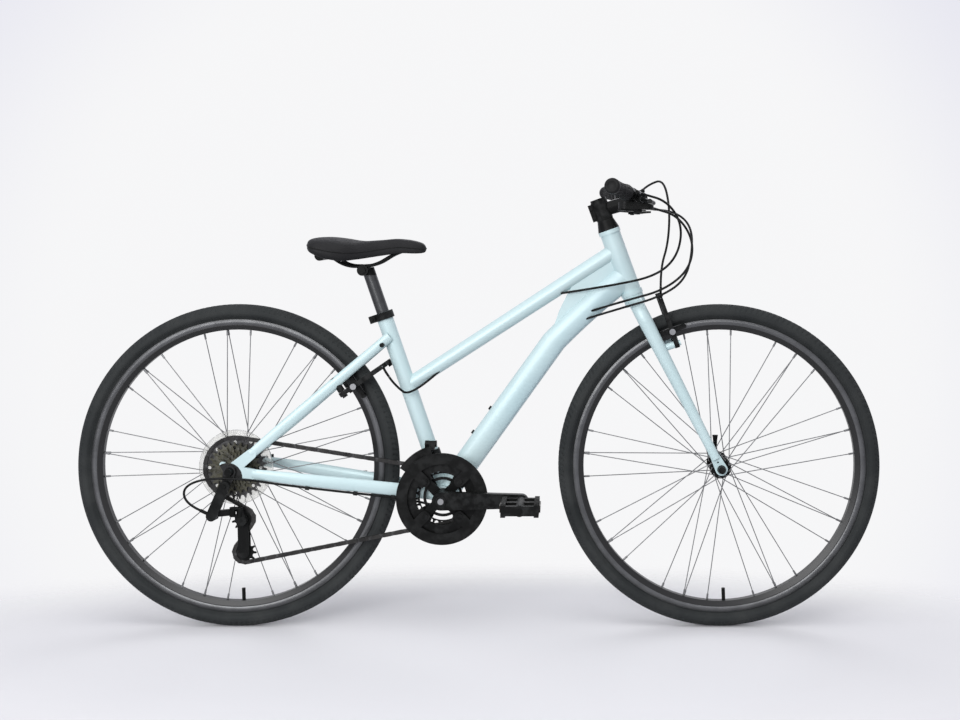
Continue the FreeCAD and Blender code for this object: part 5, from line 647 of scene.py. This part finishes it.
    def clear(self):
        """Clear plastic of the disc beside the spokes, scuffed and a little grey."""
        finish = Finish("clear plastic", transmission=0.9, ior=1.2)
        scuffed = finish.group(self.smudge, scale=60.0)["Mask"]
        finish.colour(scuffed, self.colours.clear, self.colours.scuffed)
        finish.roughness(scuffed, 0.12, 0.34)
        return finish.material


@functools.cache
def finishes():
    """The one set of finishes."""
    return Finishes(bpy.context.scene.bike_colours)


# Mesh helpers


def grid_faces(rows, columns, wrap_rows=False):
    """Quads between rows of points, each row a closed ring with the same number of columns."""
    faces = []
    for row in range(rows if wrap_rows else rows - 1):
        after = (row + 1) % rows
        for column in range(columns):
            beside = (column + 1) % columns
            faces.append((row * columns + column, row * columns + beside,
                          after * columns + beside, after * columns + column))
    return faces


def shown(name, mesh, finish):
    """A smooth object in the scene, with one finish."""
    mesh.materials.clear()
    mesh.materials.append(finish)
    mesh.shade_smooth()
    made = bpy.data.objects.new(name, mesh)
    bpy.context.scene.collection.objects.link(made)
    return made


def piece(name, points, faces, finish):
    """An object from points in metres, with its faces turned outwards."""
    mesh = bpy.data.meshes.new(name)
    mesh.from_pydata([tuple(point) for point in points], [], faces)
    shell = bmesh.new()
    shell.from_mesh(mesh)
    bmesh.ops.recalc_face_normals(shell, faces=shell.faces)
    shell.to_mesh(mesh)
    shell.free()
    return shown(name, mesh, finish)


def joined(name, meshes, finish):
    """One object from several meshes."""
    shell = bmesh.new()
    for mesh in meshes:
        shell.from_mesh(mesh)
        bpy.data.meshes.remove(mesh)
    whole = bpy.data.meshes.new(name)
    shell.to_mesh(whole)
    shell.free()
    return shown(name, whole, finish)


def fit(made, body, slot, *solids):
    """Fixes a piece to its body, and takes the solids that it stands for out of view; its slot is not used.
    """
    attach(made, body)
    for name in solids:
        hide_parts(name)


def cable_mesh(points, radius):
    """A round tube along a smooth line that the points pull into shape."""
    curve = bpy.data.curves.new("route", "CURVE")
    curve.dimensions = "3D"
    curve.bevel_depth = radius
    curve.bevel_resolution = 3
    curve.use_fill_caps = True
    curve.resolution_u = CURVE_STEPS
    spline = curve.splines.new("NURBS")
    spline.points.add(len(points) - 1)
    for place, point in zip(spline.points, points):
        place.co = (*point, 1.0)
    spline.use_endpoint_u = True
    spline.order_u = 3
    holder = bpy.data.objects.new("route", curve)
    mesh = bpy.data.meshes.new_from_object(holder)
    bpy.data.objects.remove(holder)
    bpy.data.curves.remove(curve)
    return mesh


def metres(route):
    """A route in metres."""
    return [Vector(point) * MM for point in route]


def mirrored(point):
    """The same point on the other side of the bike."""
    return Vector((point[0], -point[1], point[2]))


def lathe(base, along, profile, segments, ripple=None):
    """A closed shape turned about a line: profile gives (distance along, radius), ripple changes a radius."""
    along = along.normalized()
    side = along.orthogonal().normalized()
    across = along.cross(side)
    points = []
    for distance, radius in profile:
        for step in range(segments):
            angle = 2 * math.pi * step / segments
            reach = ripple(distance, angle, radius) if ripple else radius
            points.append(base + along * distance + side * (math.cos(angle) * reach)
                          + across * (math.sin(angle) * reach))
    return points, grid_faces(len(profile), segments)


def closed_ends(points, faces, segments):
    """Caps both ends of a turned shape."""
    last = len(points) - segments
    faces.append(tuple(range(segments)))
    faces.append(tuple(range(last, last + segments)))
    return faces


def wheel_centre(place):
    """The middle of the front or rear wheel."""
    low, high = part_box(place + "_tyre")
    return (low + high) / 2


def smooth_between(table, at):
    """A value of a table of (place, value) rows, on a curve that passes through all of them."""
    last = len(table) - 2
    index = max(i for i in range(last + 1) if table[i][0] <= at or i == 0)
    here, there = table[index], table[index + 1]
    before = table[max(index - 1, 0)]
    after = table[min(index + 2, last + 1)]
    span = there[0] - here[0]
    share = (at - here[0]) / span
    leave = (there[1] - before[1]) / (there[0] - before[0]) * span
    arrive = (after[1] - here[1]) / (after[0] - here[0]) * span
    square, cube = share ** 2, share ** 3
    return (here[1] * (2 * cube - 3 * square + 1) + leave * (cube - 2 * square + share)
            + there[1] * (3 * square - 2 * cube) + arrive * (cube - square))


# Tyres

# Angle round the tyre's section from the crown, and the shares of the tread depth cut in a slot and beside it
TREAD_STATIONS = ((0, 0.5, 0), (10, 0.5, 0), (11.5, 0, 0), (18, 0, 0), (19.5, 0.8, 0.8), (22.5, 0.8, 0.8),
                  (24, 0, 0), (29, 0, 0), (31, 1, 0), (42, 1, 0), (53, 1, 0), (64, 1, 0), (66, 0, 0),
                  (74, 0, 0), (82, 0, 0), (90, 0, 0), (98, 0, 0))
# Places within one block's pitch, and whether each lies in the slot
BLOCK_STEPS = ((0.0, False), (0.07, True), (0.33, True), (0.40, False))
SLOT_SLANT = 0.9
SLANT_ANGLE = 66
NECK_SLANT = 1.5
INSIDE_ANGLES = (98, 75, 50, 25, 0)


def tyre_section():
    """One side of the tyre from crown to bead and back inside: (y, radius, slot cut, land cut, slant)."""
    rise = CROWN_R - BELLY_R
    rows = []
    for degrees, slot, land in TREAD_STATIONS:
        angle = math.radians(degrees)
        rows.append((TYRE_HALF_W * math.sin(angle), BELLY_R + rise * math.cos(angle), slot, land,
                     degrees / SLANT_ANGLE))
    (heel_y, heel_r), (foot_y, foot_r) = TYRE_NECK[-2:]
    inside = ((foot_y - TYRE_WALL, foot_r), (heel_y - TYRE_WALL, heel_r + TYRE_WALL / 2))
    rows += [(y, radius, 0, 0, NECK_SLANT) for y, radius in (*TYRE_NECK, *inside)]
    for degrees in INSIDE_ANGLES:
        angle = math.radians(degrees)
        rows.append(((TYRE_HALF_W - TYRE_WALL) * math.sin(angle),
                     BELLY_R + (rise - TYRE_WALL) * math.cos(angle), 0, 0, 1.0))
    return rows


def tyre_mesh(sizes, finish):
    """A treaded tyre about the origin, hollow and open towards the rim."""
    half = tyre_section()
    loop = half + [(-y, *rest) for y, *rest in reversed(half[1:-1])]
    pitch = 2 * math.pi / sizes.tread_blocks
    points = []
    for block in range(sizes.tread_blocks):
        for share, cut in BLOCK_STEPS:
            for y, radius, slot, land, slant in loop:
                angle = pitch * (block + share + slant * SLOT_SLANT)
                depth = sizes.tread_depth * (slot if cut else land)
                points.append((math.cos(angle) * (radius - depth), y, math.sin(angle) * (radius - depth)))
    rows = sizes.tread_blocks * len(BLOCK_STEPS)
    return piece("tyre_template", points, grid_faces(rows, len(loop), wrap_rows=True), finish)


class BIKE_OT_tyres(bpy.types.Operator):
    """Two tyres with slotted shoulders and a sharp-edged centre groove"""
    bl_idname = "bike.tyres"
    bl_label = "Tyres"

    def execute(self, context):
        first = tyre_mesh(context.scene.bike_sizes, finishes().once("tyre"))
        for place in WHEEL_NAMES:
            tyre = first if place == WHEEL_NAMES[0] else first.copy()
            if tyre is not first:
                context.scene.collection.objects.link(tyre)
            tyre.name = place + "_treaded_tyre"
            tyre.location = wheel_centre(place)
            fit(tyre, place + "_wheel", "tyre_rubber", place + "_tyre")
        return {"FINISHED"}


# Grips

GRIP_SEGMENTS = 72
GRIP_FLUTES = 12
RIB_FROM = 16 * MM
RIB_TO = 112 * MM
CAP_ROUND = 3 * MM
CAP_DISH_R = 9 * MM
CAP_DISH = 1 * MM
WAIST_SWELL = 0.2 * MM
GRIP_EDGE = 0.6 * MM
FLANGE_EDGE = 0.8 * MM
RIB_SHARES = ((0.0, True), (0.12, False), (0.62, False), (0.74, True))
FLUTE_COSINE = 0.55


def grip_profile(sizes):
    """Distance along the grip from its outer end, and radius there."""
    rows = [(CAP_DISH, CAP_DISH_R * 0.05), (CAP_DISH, CAP_DISH_R * 0.9), (CAP_DISH * 0.2, CAP_DISH_R),
            (0.0, CAP_DISH_R * 1.12), (0.0, GRIP_END_R - CAP_ROUND * 0.6), (CAP_ROUND * 0.3, GRIP_END_R),
            (CAP_ROUND, GRIP_R - GRIP_EDGE), (CAP_ROUND * 1.6, GRIP_R), (RIB_FROM - CAP_ROUND, GRIP_R)]
    body = ((RIB_FROM, GRIP_R), (GRIP_LENGTH * 0.3, GRIP_WAIST_R + WAIST_SWELL * 2),
            (GRIP_LENGTH / 2, GRIP_WAIST_R + WAIST_SWELL),
            (GRIP_LENGTH * 0.7, GRIP_WAIST_R + WAIST_SWELL * 3), (RIB_TO, GRIP_R))
    pitch = (RIB_TO - RIB_FROM) / sizes.grip_ribs
    for rib in range(sizes.grip_ribs):
        start = RIB_FROM + pitch * rib
        for share, deep in RIB_SHARES:
            radius = smooth_between(body, start + pitch * share)
            rows.append((start + pitch * share, radius - (sizes.rib_depth if deep else 0)))
    rows += [(RIB_TO, GRIP_R), (GRIP_LENGTH - GRIP_FLANGE_W * 2, GRIP_R),
             (GRIP_LENGTH - GRIP_FLANGE_W, GRIP_FLANGE_R - GRIP_EDGE),
             (GRIP_LENGTH - GRIP_FLANGE_W * 0.7, GRIP_FLANGE_R), (GRIP_LENGTH - GRIP_EDGE, GRIP_FLANGE_R),
             (GRIP_LENGTH, GRIP_FLANGE_R - FLANGE_EDGE), (GRIP_LENGTH, GRIP_BORE_R)]
    return rows


class BIKE_OT_grips(bpy.types.Operator):
    """Two ribbed rubber grips with dished ends"""
    bl_idname = "bike.grips"
    bl_label = "Grips"

    def execute(self, context):
        sizes = context.scene.bike_sizes

        def flute(distance, angle, radius):
            if RIB_FROM < distance < RIB_TO and math.cos(angle * GRIP_FLUTES) > FLUTE_COSINE:
                return radius - sizes.rib_depth
            return radius

        inward = BAR_KNEE - GRIP_END
        points, faces = lathe(GRIP_END, inward, grip_profile(sizes), GRIP_SEGMENTS, flute)
        faces = closed_ends(points, faces, GRIP_SEGMENTS)
        count = len(points)
        points += [mirrored(point) for point in points]
        faces += [tuple(corner + count for corner in reversed(face)) for face in faces]
        grips = piece("ribbed_grips", points, faces, finishes().once("rubber"))
        fit(grips, "steering", "black_rubber", "grips")
        return {"FINISHED"}


# Saddle

SADDLE_ROWS = 72
SADDLE_ROUND = 9 * MM
SADDLE_LIP_SHARE = 0.88
SADDLE_RECESS = 5.6 * MM
RECESS_SHARE = 0.4
SADDLE_END_SHARE = 0.2
COVER_SLACK = 1.2 * MM
COVER_CAP = 3 * MM
COVER_CLOTH = {"quality": 6, "mass": 0.3, "tension_stiffness": 25, "compression_stiffness": 25,
               "bending_stiffness": 4, "use_pressure": True, "uniform_pressure_force": 4.0}
SIM_FRAMES = 20
CHANNEL_X = (-341 * MM, -152 * MM)
CHANNEL_HALF = 11 * MM
CHANNEL_FALL = 1.4
SEAM_COLUMN = 2
PIPING_R = 1.1 * MM


def saddle_row(x):
    """The closed cross-section at x: the domed cover from right to left, then the recessed underside."""
    half_w, top, low = [smooth_between([(row[0] * MM, row[column] * MM) for row in SADDLE_STATIONS], x)
                        for column in (1, 2, 3)]
    first, last = SADDLE_STATIONS[0][0] * MM, SADDLE_STATIONS[-1][0] * MM
    edge = min((x - first) / SADDLE_ROUND, (last - x) / SADDLE_ROUND, 1.0)
    fill = math.sqrt(max(1 - (1 - edge) ** 2, SADDLE_END_SHARE ** 2))
    middle = (top + low) / 2
    right = []
    for wide, tall in SADDLE_SIDE_SHARES:
        z = low + (top - low) * tall
        right.append(Vector((x, -half_w * wide * fill, middle + (z - middle) * fill)))
    cover = right + [mirrored(point) for point in reversed(right[:-1])]
    floor_z = middle + (low - middle) * fill
    lip = half_w * SADDLE_LIP_SHARE * fill
    recess = min(SADDLE_RECESS, (top - low) * RECESS_SHARE) * fill
    under = [Vector((x, lip, floor_z)), Vector((x, lip, floor_z + recess)), Vector((x, 0, floor_z + recess)),
             Vector((x, -lip, floor_z + recess)), Vector((x, -lip, floor_z))]
    return cover, under


def swell(obj, fixed):
    """Lets the cover swell over its foam, no further than a few millimetres, and applies the result."""
    rest = [vertex.co.copy() for vertex in obj.data.vertices]
    pinned = obj.vertex_groups.new(name="pinned")
    pinned.add(fixed, 1.0, "REPLACE")
    cloth = obj.modifiers.new("cover", "CLOTH")
    for name, value in COVER_CLOTH.items():
        setattr(cloth.settings, name, value)
    cloth.settings.effector_weights.gravity = 0
    cloth.settings.vertex_group_mass = pinned.name
    cloth.collision_settings.use_self_collision = False
    scene = bpy.context.scene
    for number in range(1, SIM_FRAMES + 1):
        scene.frame_set(number)
    swollen = obj.evaluated_get(bpy.context.evaluated_depsgraph_get()).to_mesh()
    places = [vertex.co.copy() for vertex in swollen.vertices]
    obj.modifiers.remove(cloth)
    obj.vertex_groups.remove(pinned)
    scene.frame_set(1)
    for vertex, was, now in zip(obj.data.vertices, rest, places):
        move = now - was
        vertex.co = was + move * min(1.0, COVER_CAP / max(move.length, 1e-9))


class BIKE_OT_saddle(bpy.types.Operator):
    """Padded saddle with a hollow along its middle and piping round its edge"""
    bl_idname = "bike.saddle"
    bl_label = "Saddle"

    def execute(self, context):
        sizes = context.scene.bike_sizes
        first, last = SADDLE_STATIONS[0][0] * MM, SADDLE_STATIONS[-1][0] * MM
        points, fixed, seam_right = [], [], []
        columns = 0
        for row in range(SADDLE_ROWS):
            share = row / (SADDLE_ROWS - 1)
            eased = (1 - math.cos(math.pi * share)) / 2
            cover, under = saddle_row(first + (last - first) * eased)
            middle = sum(cover, Vector()) / len(cover)
            start = len(points)
            for index, point in enumerate(cover):
                inward = (middle - point).normalized() * COVER_SLACK
                points.append(point + inward if 1 < index < len(cover) - 2 else point)
            points += under
            columns = len(cover) + len(under)
            fixed += [start, start + 1, start + len(cover) - 1, start + len(cover) - 2]
            fixed += range(start + len(cover), start + columns)
            seam_right.append(start + SEAM_COLUMN)
        faces = grid_faces(SADDLE_ROWS, columns)
        faces = closed_ends(points, faces, columns)
        fixed += list(range(columns)) + list(range(len(points) - columns, len(points)))
        pad = piece("saddle_cover", points, faces, finishes().once("cover"))
        swell(pad, sorted(set(fixed)))
        cover_count = len(SADDLE_SIDE_SHARES) * 2 - 1
        for index, vertex in enumerate(pad.data.vertices):
            if index % columns >= cover_count:
                continue
            along = (vertex.co.x - CHANNEL_X[0]) / (CHANNEL_X[1] - CHANNEL_X[0])
            across = abs(vertex.co.y) / CHANNEL_HALF
            if 0 < along < 1 and across < 2:
                hollow = math.sqrt(math.sin(math.pi * along)) * math.exp(-across ** 2 * CHANNEL_FALL)
                vertex.co.z -= sizes.channel_depth * hollow
        seam = [pad.data.vertices[index].co.copy() for index in seam_right]
        smooth = pad.modifiers.new("smooth", "SUBSURF")
        smooth.levels = smooth.render_levels = 2
        fit(pad, "seat", "saddle_cover", "saddle_pad")
        route = seam + [mirrored(point) for point in reversed(seam)]
        piping = joined("saddle_piping", [cable_mesh(route + route[:1], PIPING_R)], finishes().once("rubber"))
        fit(piping, "seat", "saddle_cover")
        return {"FINISHED"}


# Cables


def housing_route(barrel, side, route):
    """The route of a housing from a barrel at the bar; side is 1 on the left and -1 on the right."""
    inward = (BAR_KNEE - GRIP_END).normalized()
    start = barrel if side > 0 else mirrored(barrel)
    way = inward if side > 0 else mirrored(inward)
    return [start + way * BARREL_GAP, start + way * BARREL_LEAD] + metres(route)


def wire_and_boot(place):
    """The bare wire between the tops of the brake arms, and the ribbed boot round it."""
    x, z = [value * MM for value in BRAKE_WIRES[place]]
    half = BRAKE_WIRE_HALF
    wire = cable_mesh([Vector((x, -half, z)), Vector((x, 0, z)), Vector((x, half, z))], BRAKE_WIRE_R)
    profile = [(-BOOT_HALF, BRAKE_WIRE_R)]
    step = BOOT_HALF * 2 / BOOT_RIBS
    for rib in range(BOOT_RIBS):
        profile += [(step * (rib + along) - BOOT_HALF, BOOT_R * wide) for along, wide in BOOT_RIB_SHARES]
    profile.append((BOOT_HALF, BRAKE_WIRE_R))
    points, faces = lathe(Vector((x, 0, z)), Vector((0, 1, 0)), profile, BOOT_SEGMENTS)
    boot = bpy.data.meshes.new("boot")
    boot.from_pydata([tuple(point) for point in points], [], faces)
    return wire, boot


class BIKE_OT_cables(bpy.types.Operator):
    """Housings from the levers to the frame and brakes, with the brakes' wires and boots"""
    bl_idname = "bike.cables"
    bl_label = "Cables"

    def execute(self, context):
        radius = context.scene.bike_sizes.housing_r
        dark = finishes().once("housing")
        crossing = (
            ("rear_brake_housing", housing_route(BRAKE_BARREL_END, -1, REAR_BRAKE_ROUTE), -1),
            ("right_shift_housing", housing_route(SHIFT_BARREL_END, -1, RIGHT_SHIFT_ROUTE), -1),
            ("left_shift_housing", housing_route(SHIFT_BARREL_END, 1, LEFT_SHIFT_ROUTE), -3),
        )
        for name, route, still in crossing:
            housing = joined(name, [cable_mesh(route, radius)], dark)
            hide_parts("frame_cables")
            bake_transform(housing)
        held = joined("frame_housings", [cable_mesh(metres(SEAT_BRAKE_ROUTE), radius),
                                         cable_mesh(metres(GEAR_ROUTE), radius)], dark)
        fit(held, "frame", "black_plastic", "frame_cables")
        front = joined("front_brake_housing",
                       [cable_mesh(housing_route(BRAKE_BARREL_END, 1, FRONT_BRAKE_ROUTE), radius)], dark)
        fit(front, "steering", "black_plastic", "front_brake_cable")
        for place, body in (("front", "steering"), ("rear", "frame")):
            wire, boot = wire_and_boot(place)
            for name, mesh, finish, slot in (("wire", wire, "steel", "steel"),
                                             ("boot", boot, "rubber", "black_rubber")):
                fitted = joined(place + "_brake_" + name, [mesh], finishes().once(finish))
                fit(fitted, body, slot)
        return {"FINISHED"}


# Clear disc between the sprockets and the spokes

DISC_Y = -27.6 * MM
DISC_T = 1.2 * MM
DISC_BORE_R = 26 * MM
DISC_DISH = 2.2 * MM
DISC_BEAD_R = 1.6 * MM
DISC_STEP_SHARES = (0.5, 0.62)
DISC_SEGMENTS = 96


class BIKE_OT_spoke_guard(bpy.types.Operator):
    """Clear disc that keeps the chain out of the spokes"""
    bl_idname = "bike.spoke_guard"
    bl_label = "Spoke guard"

    def execute(self, context):
        outer = context.scene.bike_sizes.guard_ring_r
        half = DISC_T / 2
        flat_r, dished_r = [outer * share for share in DISC_STEP_SHARES]
        bead_r = outer - DISC_BEAD_R
        foot_r = bead_r - DISC_BEAD_R
        profile = [(half, DISC_BORE_R), (half, flat_r), (half + DISC_DISH, dished_r),
                   (half + DISC_DISH, foot_r), (DISC_DISH + DISC_BEAD_R, bead_r), (DISC_DISH, outer),
                   (DISC_DISH - DISC_BEAD_R, bead_r), (DISC_DISH - half, foot_r),
                   (DISC_DISH - half, dished_r), (-half, flat_r), (-half, DISC_BORE_R)]
        centre = wheel_centre("rear")
        points, _ = lathe(centre + Vector((0, DISC_Y, 0)), Vector((0, 1, 0)), profile, DISC_SEGMENTS)
        disc = piece("clear_spoke_guard", points, grid_faces(len(profile), DISC_SEGMENTS, wrap_rows=True),
                     finishes().once("clear"))
        fit(disc, "rear_wheel", "black_plastic")
        return {"FINISHED"}


# Finishes of the solids that stay in view

STUD_R = 283 * MM
STUD_OFFSET = 40 * MM
STUD_ANGLES = {"front": 109.6, "rear": 34.5}
PAD_UP = 28 * MM
BOLT_OUT = 9 * MM
BOLT_REACH = 8.5 * MM
NUT_OUT = 14 * MM
NUT_REACH = 8 * MM


def dress(names, finish):
    """Gives solids of the frame one finish."""
    for name in names:
        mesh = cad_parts[name].data
        mesh.materials.clear()
        mesh.materials.append(finish)


def brake_bolts(place, side):
    """Where a brake arm shows bare steel: its stud bolt and the nut of its pad."""
    angle = math.radians(STUD_ANGLES[place])
    rise = Vector((math.cos(angle), 0, math.sin(angle)))
    outward = Vector((math.sin(angle), 0, -math.cos(angle)))
    stud = wheel_centre(place) + rise * STUD_R + Vector((0, side * STUD_OFFSET, 0))
    nut = stud + rise * PAD_UP + Vector((0, side * NUT_OUT, 0))
    return ((stud + outward * BOLT_OUT, BOLT_REACH), (nut, NUT_REACH))


class BIKE_OT_paint(bpy.types.Operator):
    """Ice blue paint on the frame and fork"""
    bl_idname = "bike.paint"
    bl_label = "Paint"

    def execute(self, context):
        dress(PAINTED, finishes().once("paint"))
        dress(["rear_dropouts"], finishes().once("dropouts"))
        dress(["bearing_cups"], finishes().once("cups"))
        return {"FINISHED"}


class BIKE_OT_black_parts(bpy.types.Operator):
    """Alloy and plastic of the cockpit, seat post, chainrings and derailleurs"""
    bl_idname = "bike.black_parts"
    bl_label = "Black parts"

    def execute(self, context):
        dress(BLACK_ALLOY, finishes().once("alloy"))
        dress(["seat_post"], finishes().once("post"))
        dress(BLACK_PLASTIC, finishes().once("plastic"))
        return {"FINISHED"}


class BIKE_OT_wheels(bpy.types.Operator):
    """Rims with machined brake tracks, and grey steel spokes"""
    bl_idname = "bike.wheels"
    bl_label = "Wheels"

    def execute(self, context):
        dress(GREY_STEEL, finishes().once("spokes"))
        for place in WHEEL_NAMES:
            dress([place + "_rim"], finishes().rim(place, wheel_centre(place)))
        return {"FINISHED"}


class BIKE_OT_brakes(bpy.types.Operator):
    """Black brake arms with steel bolts"""
    bl_idname = "bike.brakes"
    bl_label = "Brakes"

    def execute(self, context):
        for place in WHEEL_NAMES:
            for side_name, side in (("left", 1), ("right", -1)):
                name = place + "_" + side_name + "_brake_arm"
                dress([name], finishes().bolted(name.replace("_", " "), brake_bolts(place, side)))
        return {"FINISHED"}


# Places of the steel pivots and adjusters at the left of the bar, and how far they reach, in millimetres
CONTROL_BOLTS = (((343.3, 168.3, 924.3), 9.5), ((339.6, 164, 937), 5.5), ((364.7, 128, 907.8), 5.5))


class BIKE_OT_controls(bpy.types.Operator):
    """Black lever brackets and shifter pods with steel pivots and adjusters"""
    bl_idname = "bike.controls"
    bl_label = "Controls"

    def execute(self, context):
        bolts = [(Vector((x, side * y, z)) * MM, reach * MM) for (x, y, z), reach in CONTROL_BOLTS
                 for side in (1, -1)]
        dress(["control_brackets"], finishes().bolted("controls", bolts))
        return {"FINISHED"}


class BIKE_OT_drive(bpy.types.Operator):
    """Chain, cranks, sprockets and pedals"""
    bl_idname = "bike.drive"
    bl_label = "Drive"

    def execute(self, context):
        dress(["chain"], finishes().once("chain"))
        dress(["crank_arms"], finishes().bolted("cranks", [(CRANK_BOLT_AT, CRANK_BOLT_REACH)]))
        dress(["sprockets"], finishes().once("sprockets"))
        for side in ("left", "right"):
            low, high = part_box(side + "_pedal")
            dress([side + "_pedal"], finishes().pedal(side + " pedal", low.x, high.x))
        return {"FINISHED"}


# Stage

SENSOR_W = 36
FLOOR_HALF = 6.0
FLOOR_MIDDLE = (0.0, -0.15, 0.0)
FLOOR_SQUEEZE = (0.6, 1.5, 1.0)
FLOOR_SOLID = 0.52
FLOOR_GONE = 1.0
FLOOR_ROUGHNESS = 0.9
FLOOR_SPECULAR = 0.1
KEY_AT = (0.25, -1.1, 3.1)
KEY_SIZE = (3.6, 2.6)
FILL_AT = (-1.3, -3.4, 1.7)
FILL_SIZE = (2.6, 2.0)
RIM_AT = (0.9, 2.4, 2.2)
RIM_SIZE = (2.6, 1.6)
RIM_SHARE = 0.25
AIM = Vector((0.0, 0.0, 0.5))
# Painted vignette shade: the middle of the view, and the cosines from it where the darkening starts and where
# it is full.
BACKDROP_MIDDLE = Vector((-0.078, 0.991, -0.109))
BACKDROP_COSINES = (0.955, 0.885)


def area_lamp(name, place, size, power):
    """A soft lamp aimed at the bike."""
    lamp = bpy.data.lights.new(name, "AREA")
    lamp.shape = "RECTANGLE"
    lamp.size, lamp.size_y = size
    lamp.energy = power
    holder = bpy.data.objects.new(name, lamp)
    holder.location = place
    holder.rotation_euler = (AIM - Vector(place)).to_track_quat("-Z", "Y").to_euler()
    bpy.context.scene.collection.objects.link(holder)


def floor_finish(colours):
    """Pale matt floor that fades out away from the bike."""
    finish = Finish("pale floor", specular=FLOOR_SPECULAR)
    offset = finish.vector("SUBTRACT", finish.place(), FLOOR_MIDDLE)["Vector"]
    reach = finish.vector("LENGTH", finish.vector("MULTIPLY", offset, FLOOR_SQUEEZE)["Vector"])["Value"]
    fade = finish.ramp(reach, FLOOR_SOLID, FLOOR_GONE)
    mottle = finish.math("MULTIPLY", finish.noise(3.0, 4.0), 0.03)
    finish.colour(mottle, colours.floor, colours.mottle)
    finish.shader["Roughness"].default_value = FLOOR_ROUGHNESS
    finish.put(finish.shader["Alpha"], finish.math("SUBTRACT", 1.0, fade))
    return finish.material


class BIKE_OT_stage(bpy.types.Operator):
    """Pale floor, soft lamps, pale surroundings and the camera"""
    bl_idname = "bike.stage"
    bl_label = "Stage"

    def execute(self, context):
        scene = context.scene
        colours, stage = scene.bike_colours, scene.bike_stage
        corners = [(x * FLOOR_HALF, y * FLOOR_HALF, 0) for x, y in ((-1, -1), (1, -1), (1, 1), (-1, 1))]
        floor = piece("floor", corners, [(0, 1, 2, 3)], floor_finish(colours))
        area_lamp("key", KEY_AT, KEY_SIZE, stage.key)
        area_lamp("fill", FILL_AT, FILL_SIZE, stage.fill)
        area_lamp("back", RIM_AT, RIM_SIZE, stage.fill * RIM_SHARE)
        world = bpy.data.worlds.new("pale surroundings")
        scene.world = world
        world.use_nodes = True
        wiring = Wiring(world.node_tree)
        seen = wiring.node("ShaderNodeLightPath").outputs
        mirrored_or_through = wiring.math("MAXIMUM", seen["Is Glossy Ray"], seen["Is Transmission Ray"])
        direct = wiring.math("MAXIMUM", seen["Is Camera Ray"], mirrored_or_through)
        back = world.node_tree.nodes["Background"].inputs
        # Painted vignette shade: away from the middle of the view the backdrop turns to the darker, bluer
        # vignette tone.
        towards = wiring.node("ShaderNodeTexCoord").outputs["Generated"]
        turned = wiring.vector("DOT_PRODUCT", towards, BACKDROP_MIDDLE)["Value"]
        edge = wiring.ramp(turned, *BACKDROP_COSINES)
        wiring.put(back["Color"], wiring.mix(edge, colours.backdrop, colours.backdrop_vignette_shade))
        wiring.put(back["Strength"], wiring.blend(direct, stage.sky, 1.0))
        camera = bpy.data.objects.new("camera", bpy.data.cameras.new("camera"))
        camera.location = stage.camera_at
        camera.rotation_euler = (math.pi / 2, 0, 0)
        camera.data.lens = stage.lens
        camera.data.sensor_width = SENSOR_W
        camera.data.sensor_fit = "HORIZONTAL"
        camera.data.shift_x, camera.data.shift_y = stage.shift
        scene.collection.objects.link(camera)
        scene.camera = camera
        scene.view_settings.view_transform = "Standard"
        return {"FINISHED"}


OPERATORS = (BIKE_OT_stage, BIKE_OT_paint, BIKE_OT_black_parts, BIKE_OT_wheels, BIKE_OT_brakes,
             BIKE_OT_controls, BIKE_OT_drive, BIKE_OT_tyres, BIKE_OT_grips, BIKE_OT_saddle, BIKE_OT_cables,
             BIKE_OT_spoke_guard)


class BIKE_PT_sidebar(bpy.types.Panel):
    """Sizes, colours and steps of the bike"""
    bl_idname = "BIKE_PT_sidebar"
    bl_label = "Hybrid bike"
    bl_space_type = "VIEW_3D"
    bl_region_type = "UI"
    bl_category = "Bike"

    def draw(self, context):
        for group in (context.scene.bike_sizes, context.scene.bike_colours, context.scene.bike_stage):
            box = self.layout.box()
            for name in group.__annotations__:
                box.prop(group, name)
        for step in OPERATORS:
            self.layout.operator(step.bl_idname)


GROUPS = {"bike_sizes": BikeSizes, "bike_colours": BikeColours, "bike_stage": BikeStage}
CLASSES = (*GROUPS.values(), *OPERATORS, BIKE_PT_sidebar)


def register():
    for item in CLASSES:
        bpy.utils.register_class(item)
    for name, group in GROUPS.items():
        setattr(bpy.types.Scene, name, PointerProperty(type=group))


def unregister():
    for name in GROUPS:
        delattr(bpy.types.Scene, name)
    for item in reversed(CLASSES):
        bpy.utils.unregister_class(item)


def main():
    register()
    for step in OPERATORS:
        area, name = step.bl_idname.split(".")
        getattr(getattr(bpy.ops, area), name)()


if __name__ == "__main__":
    main()
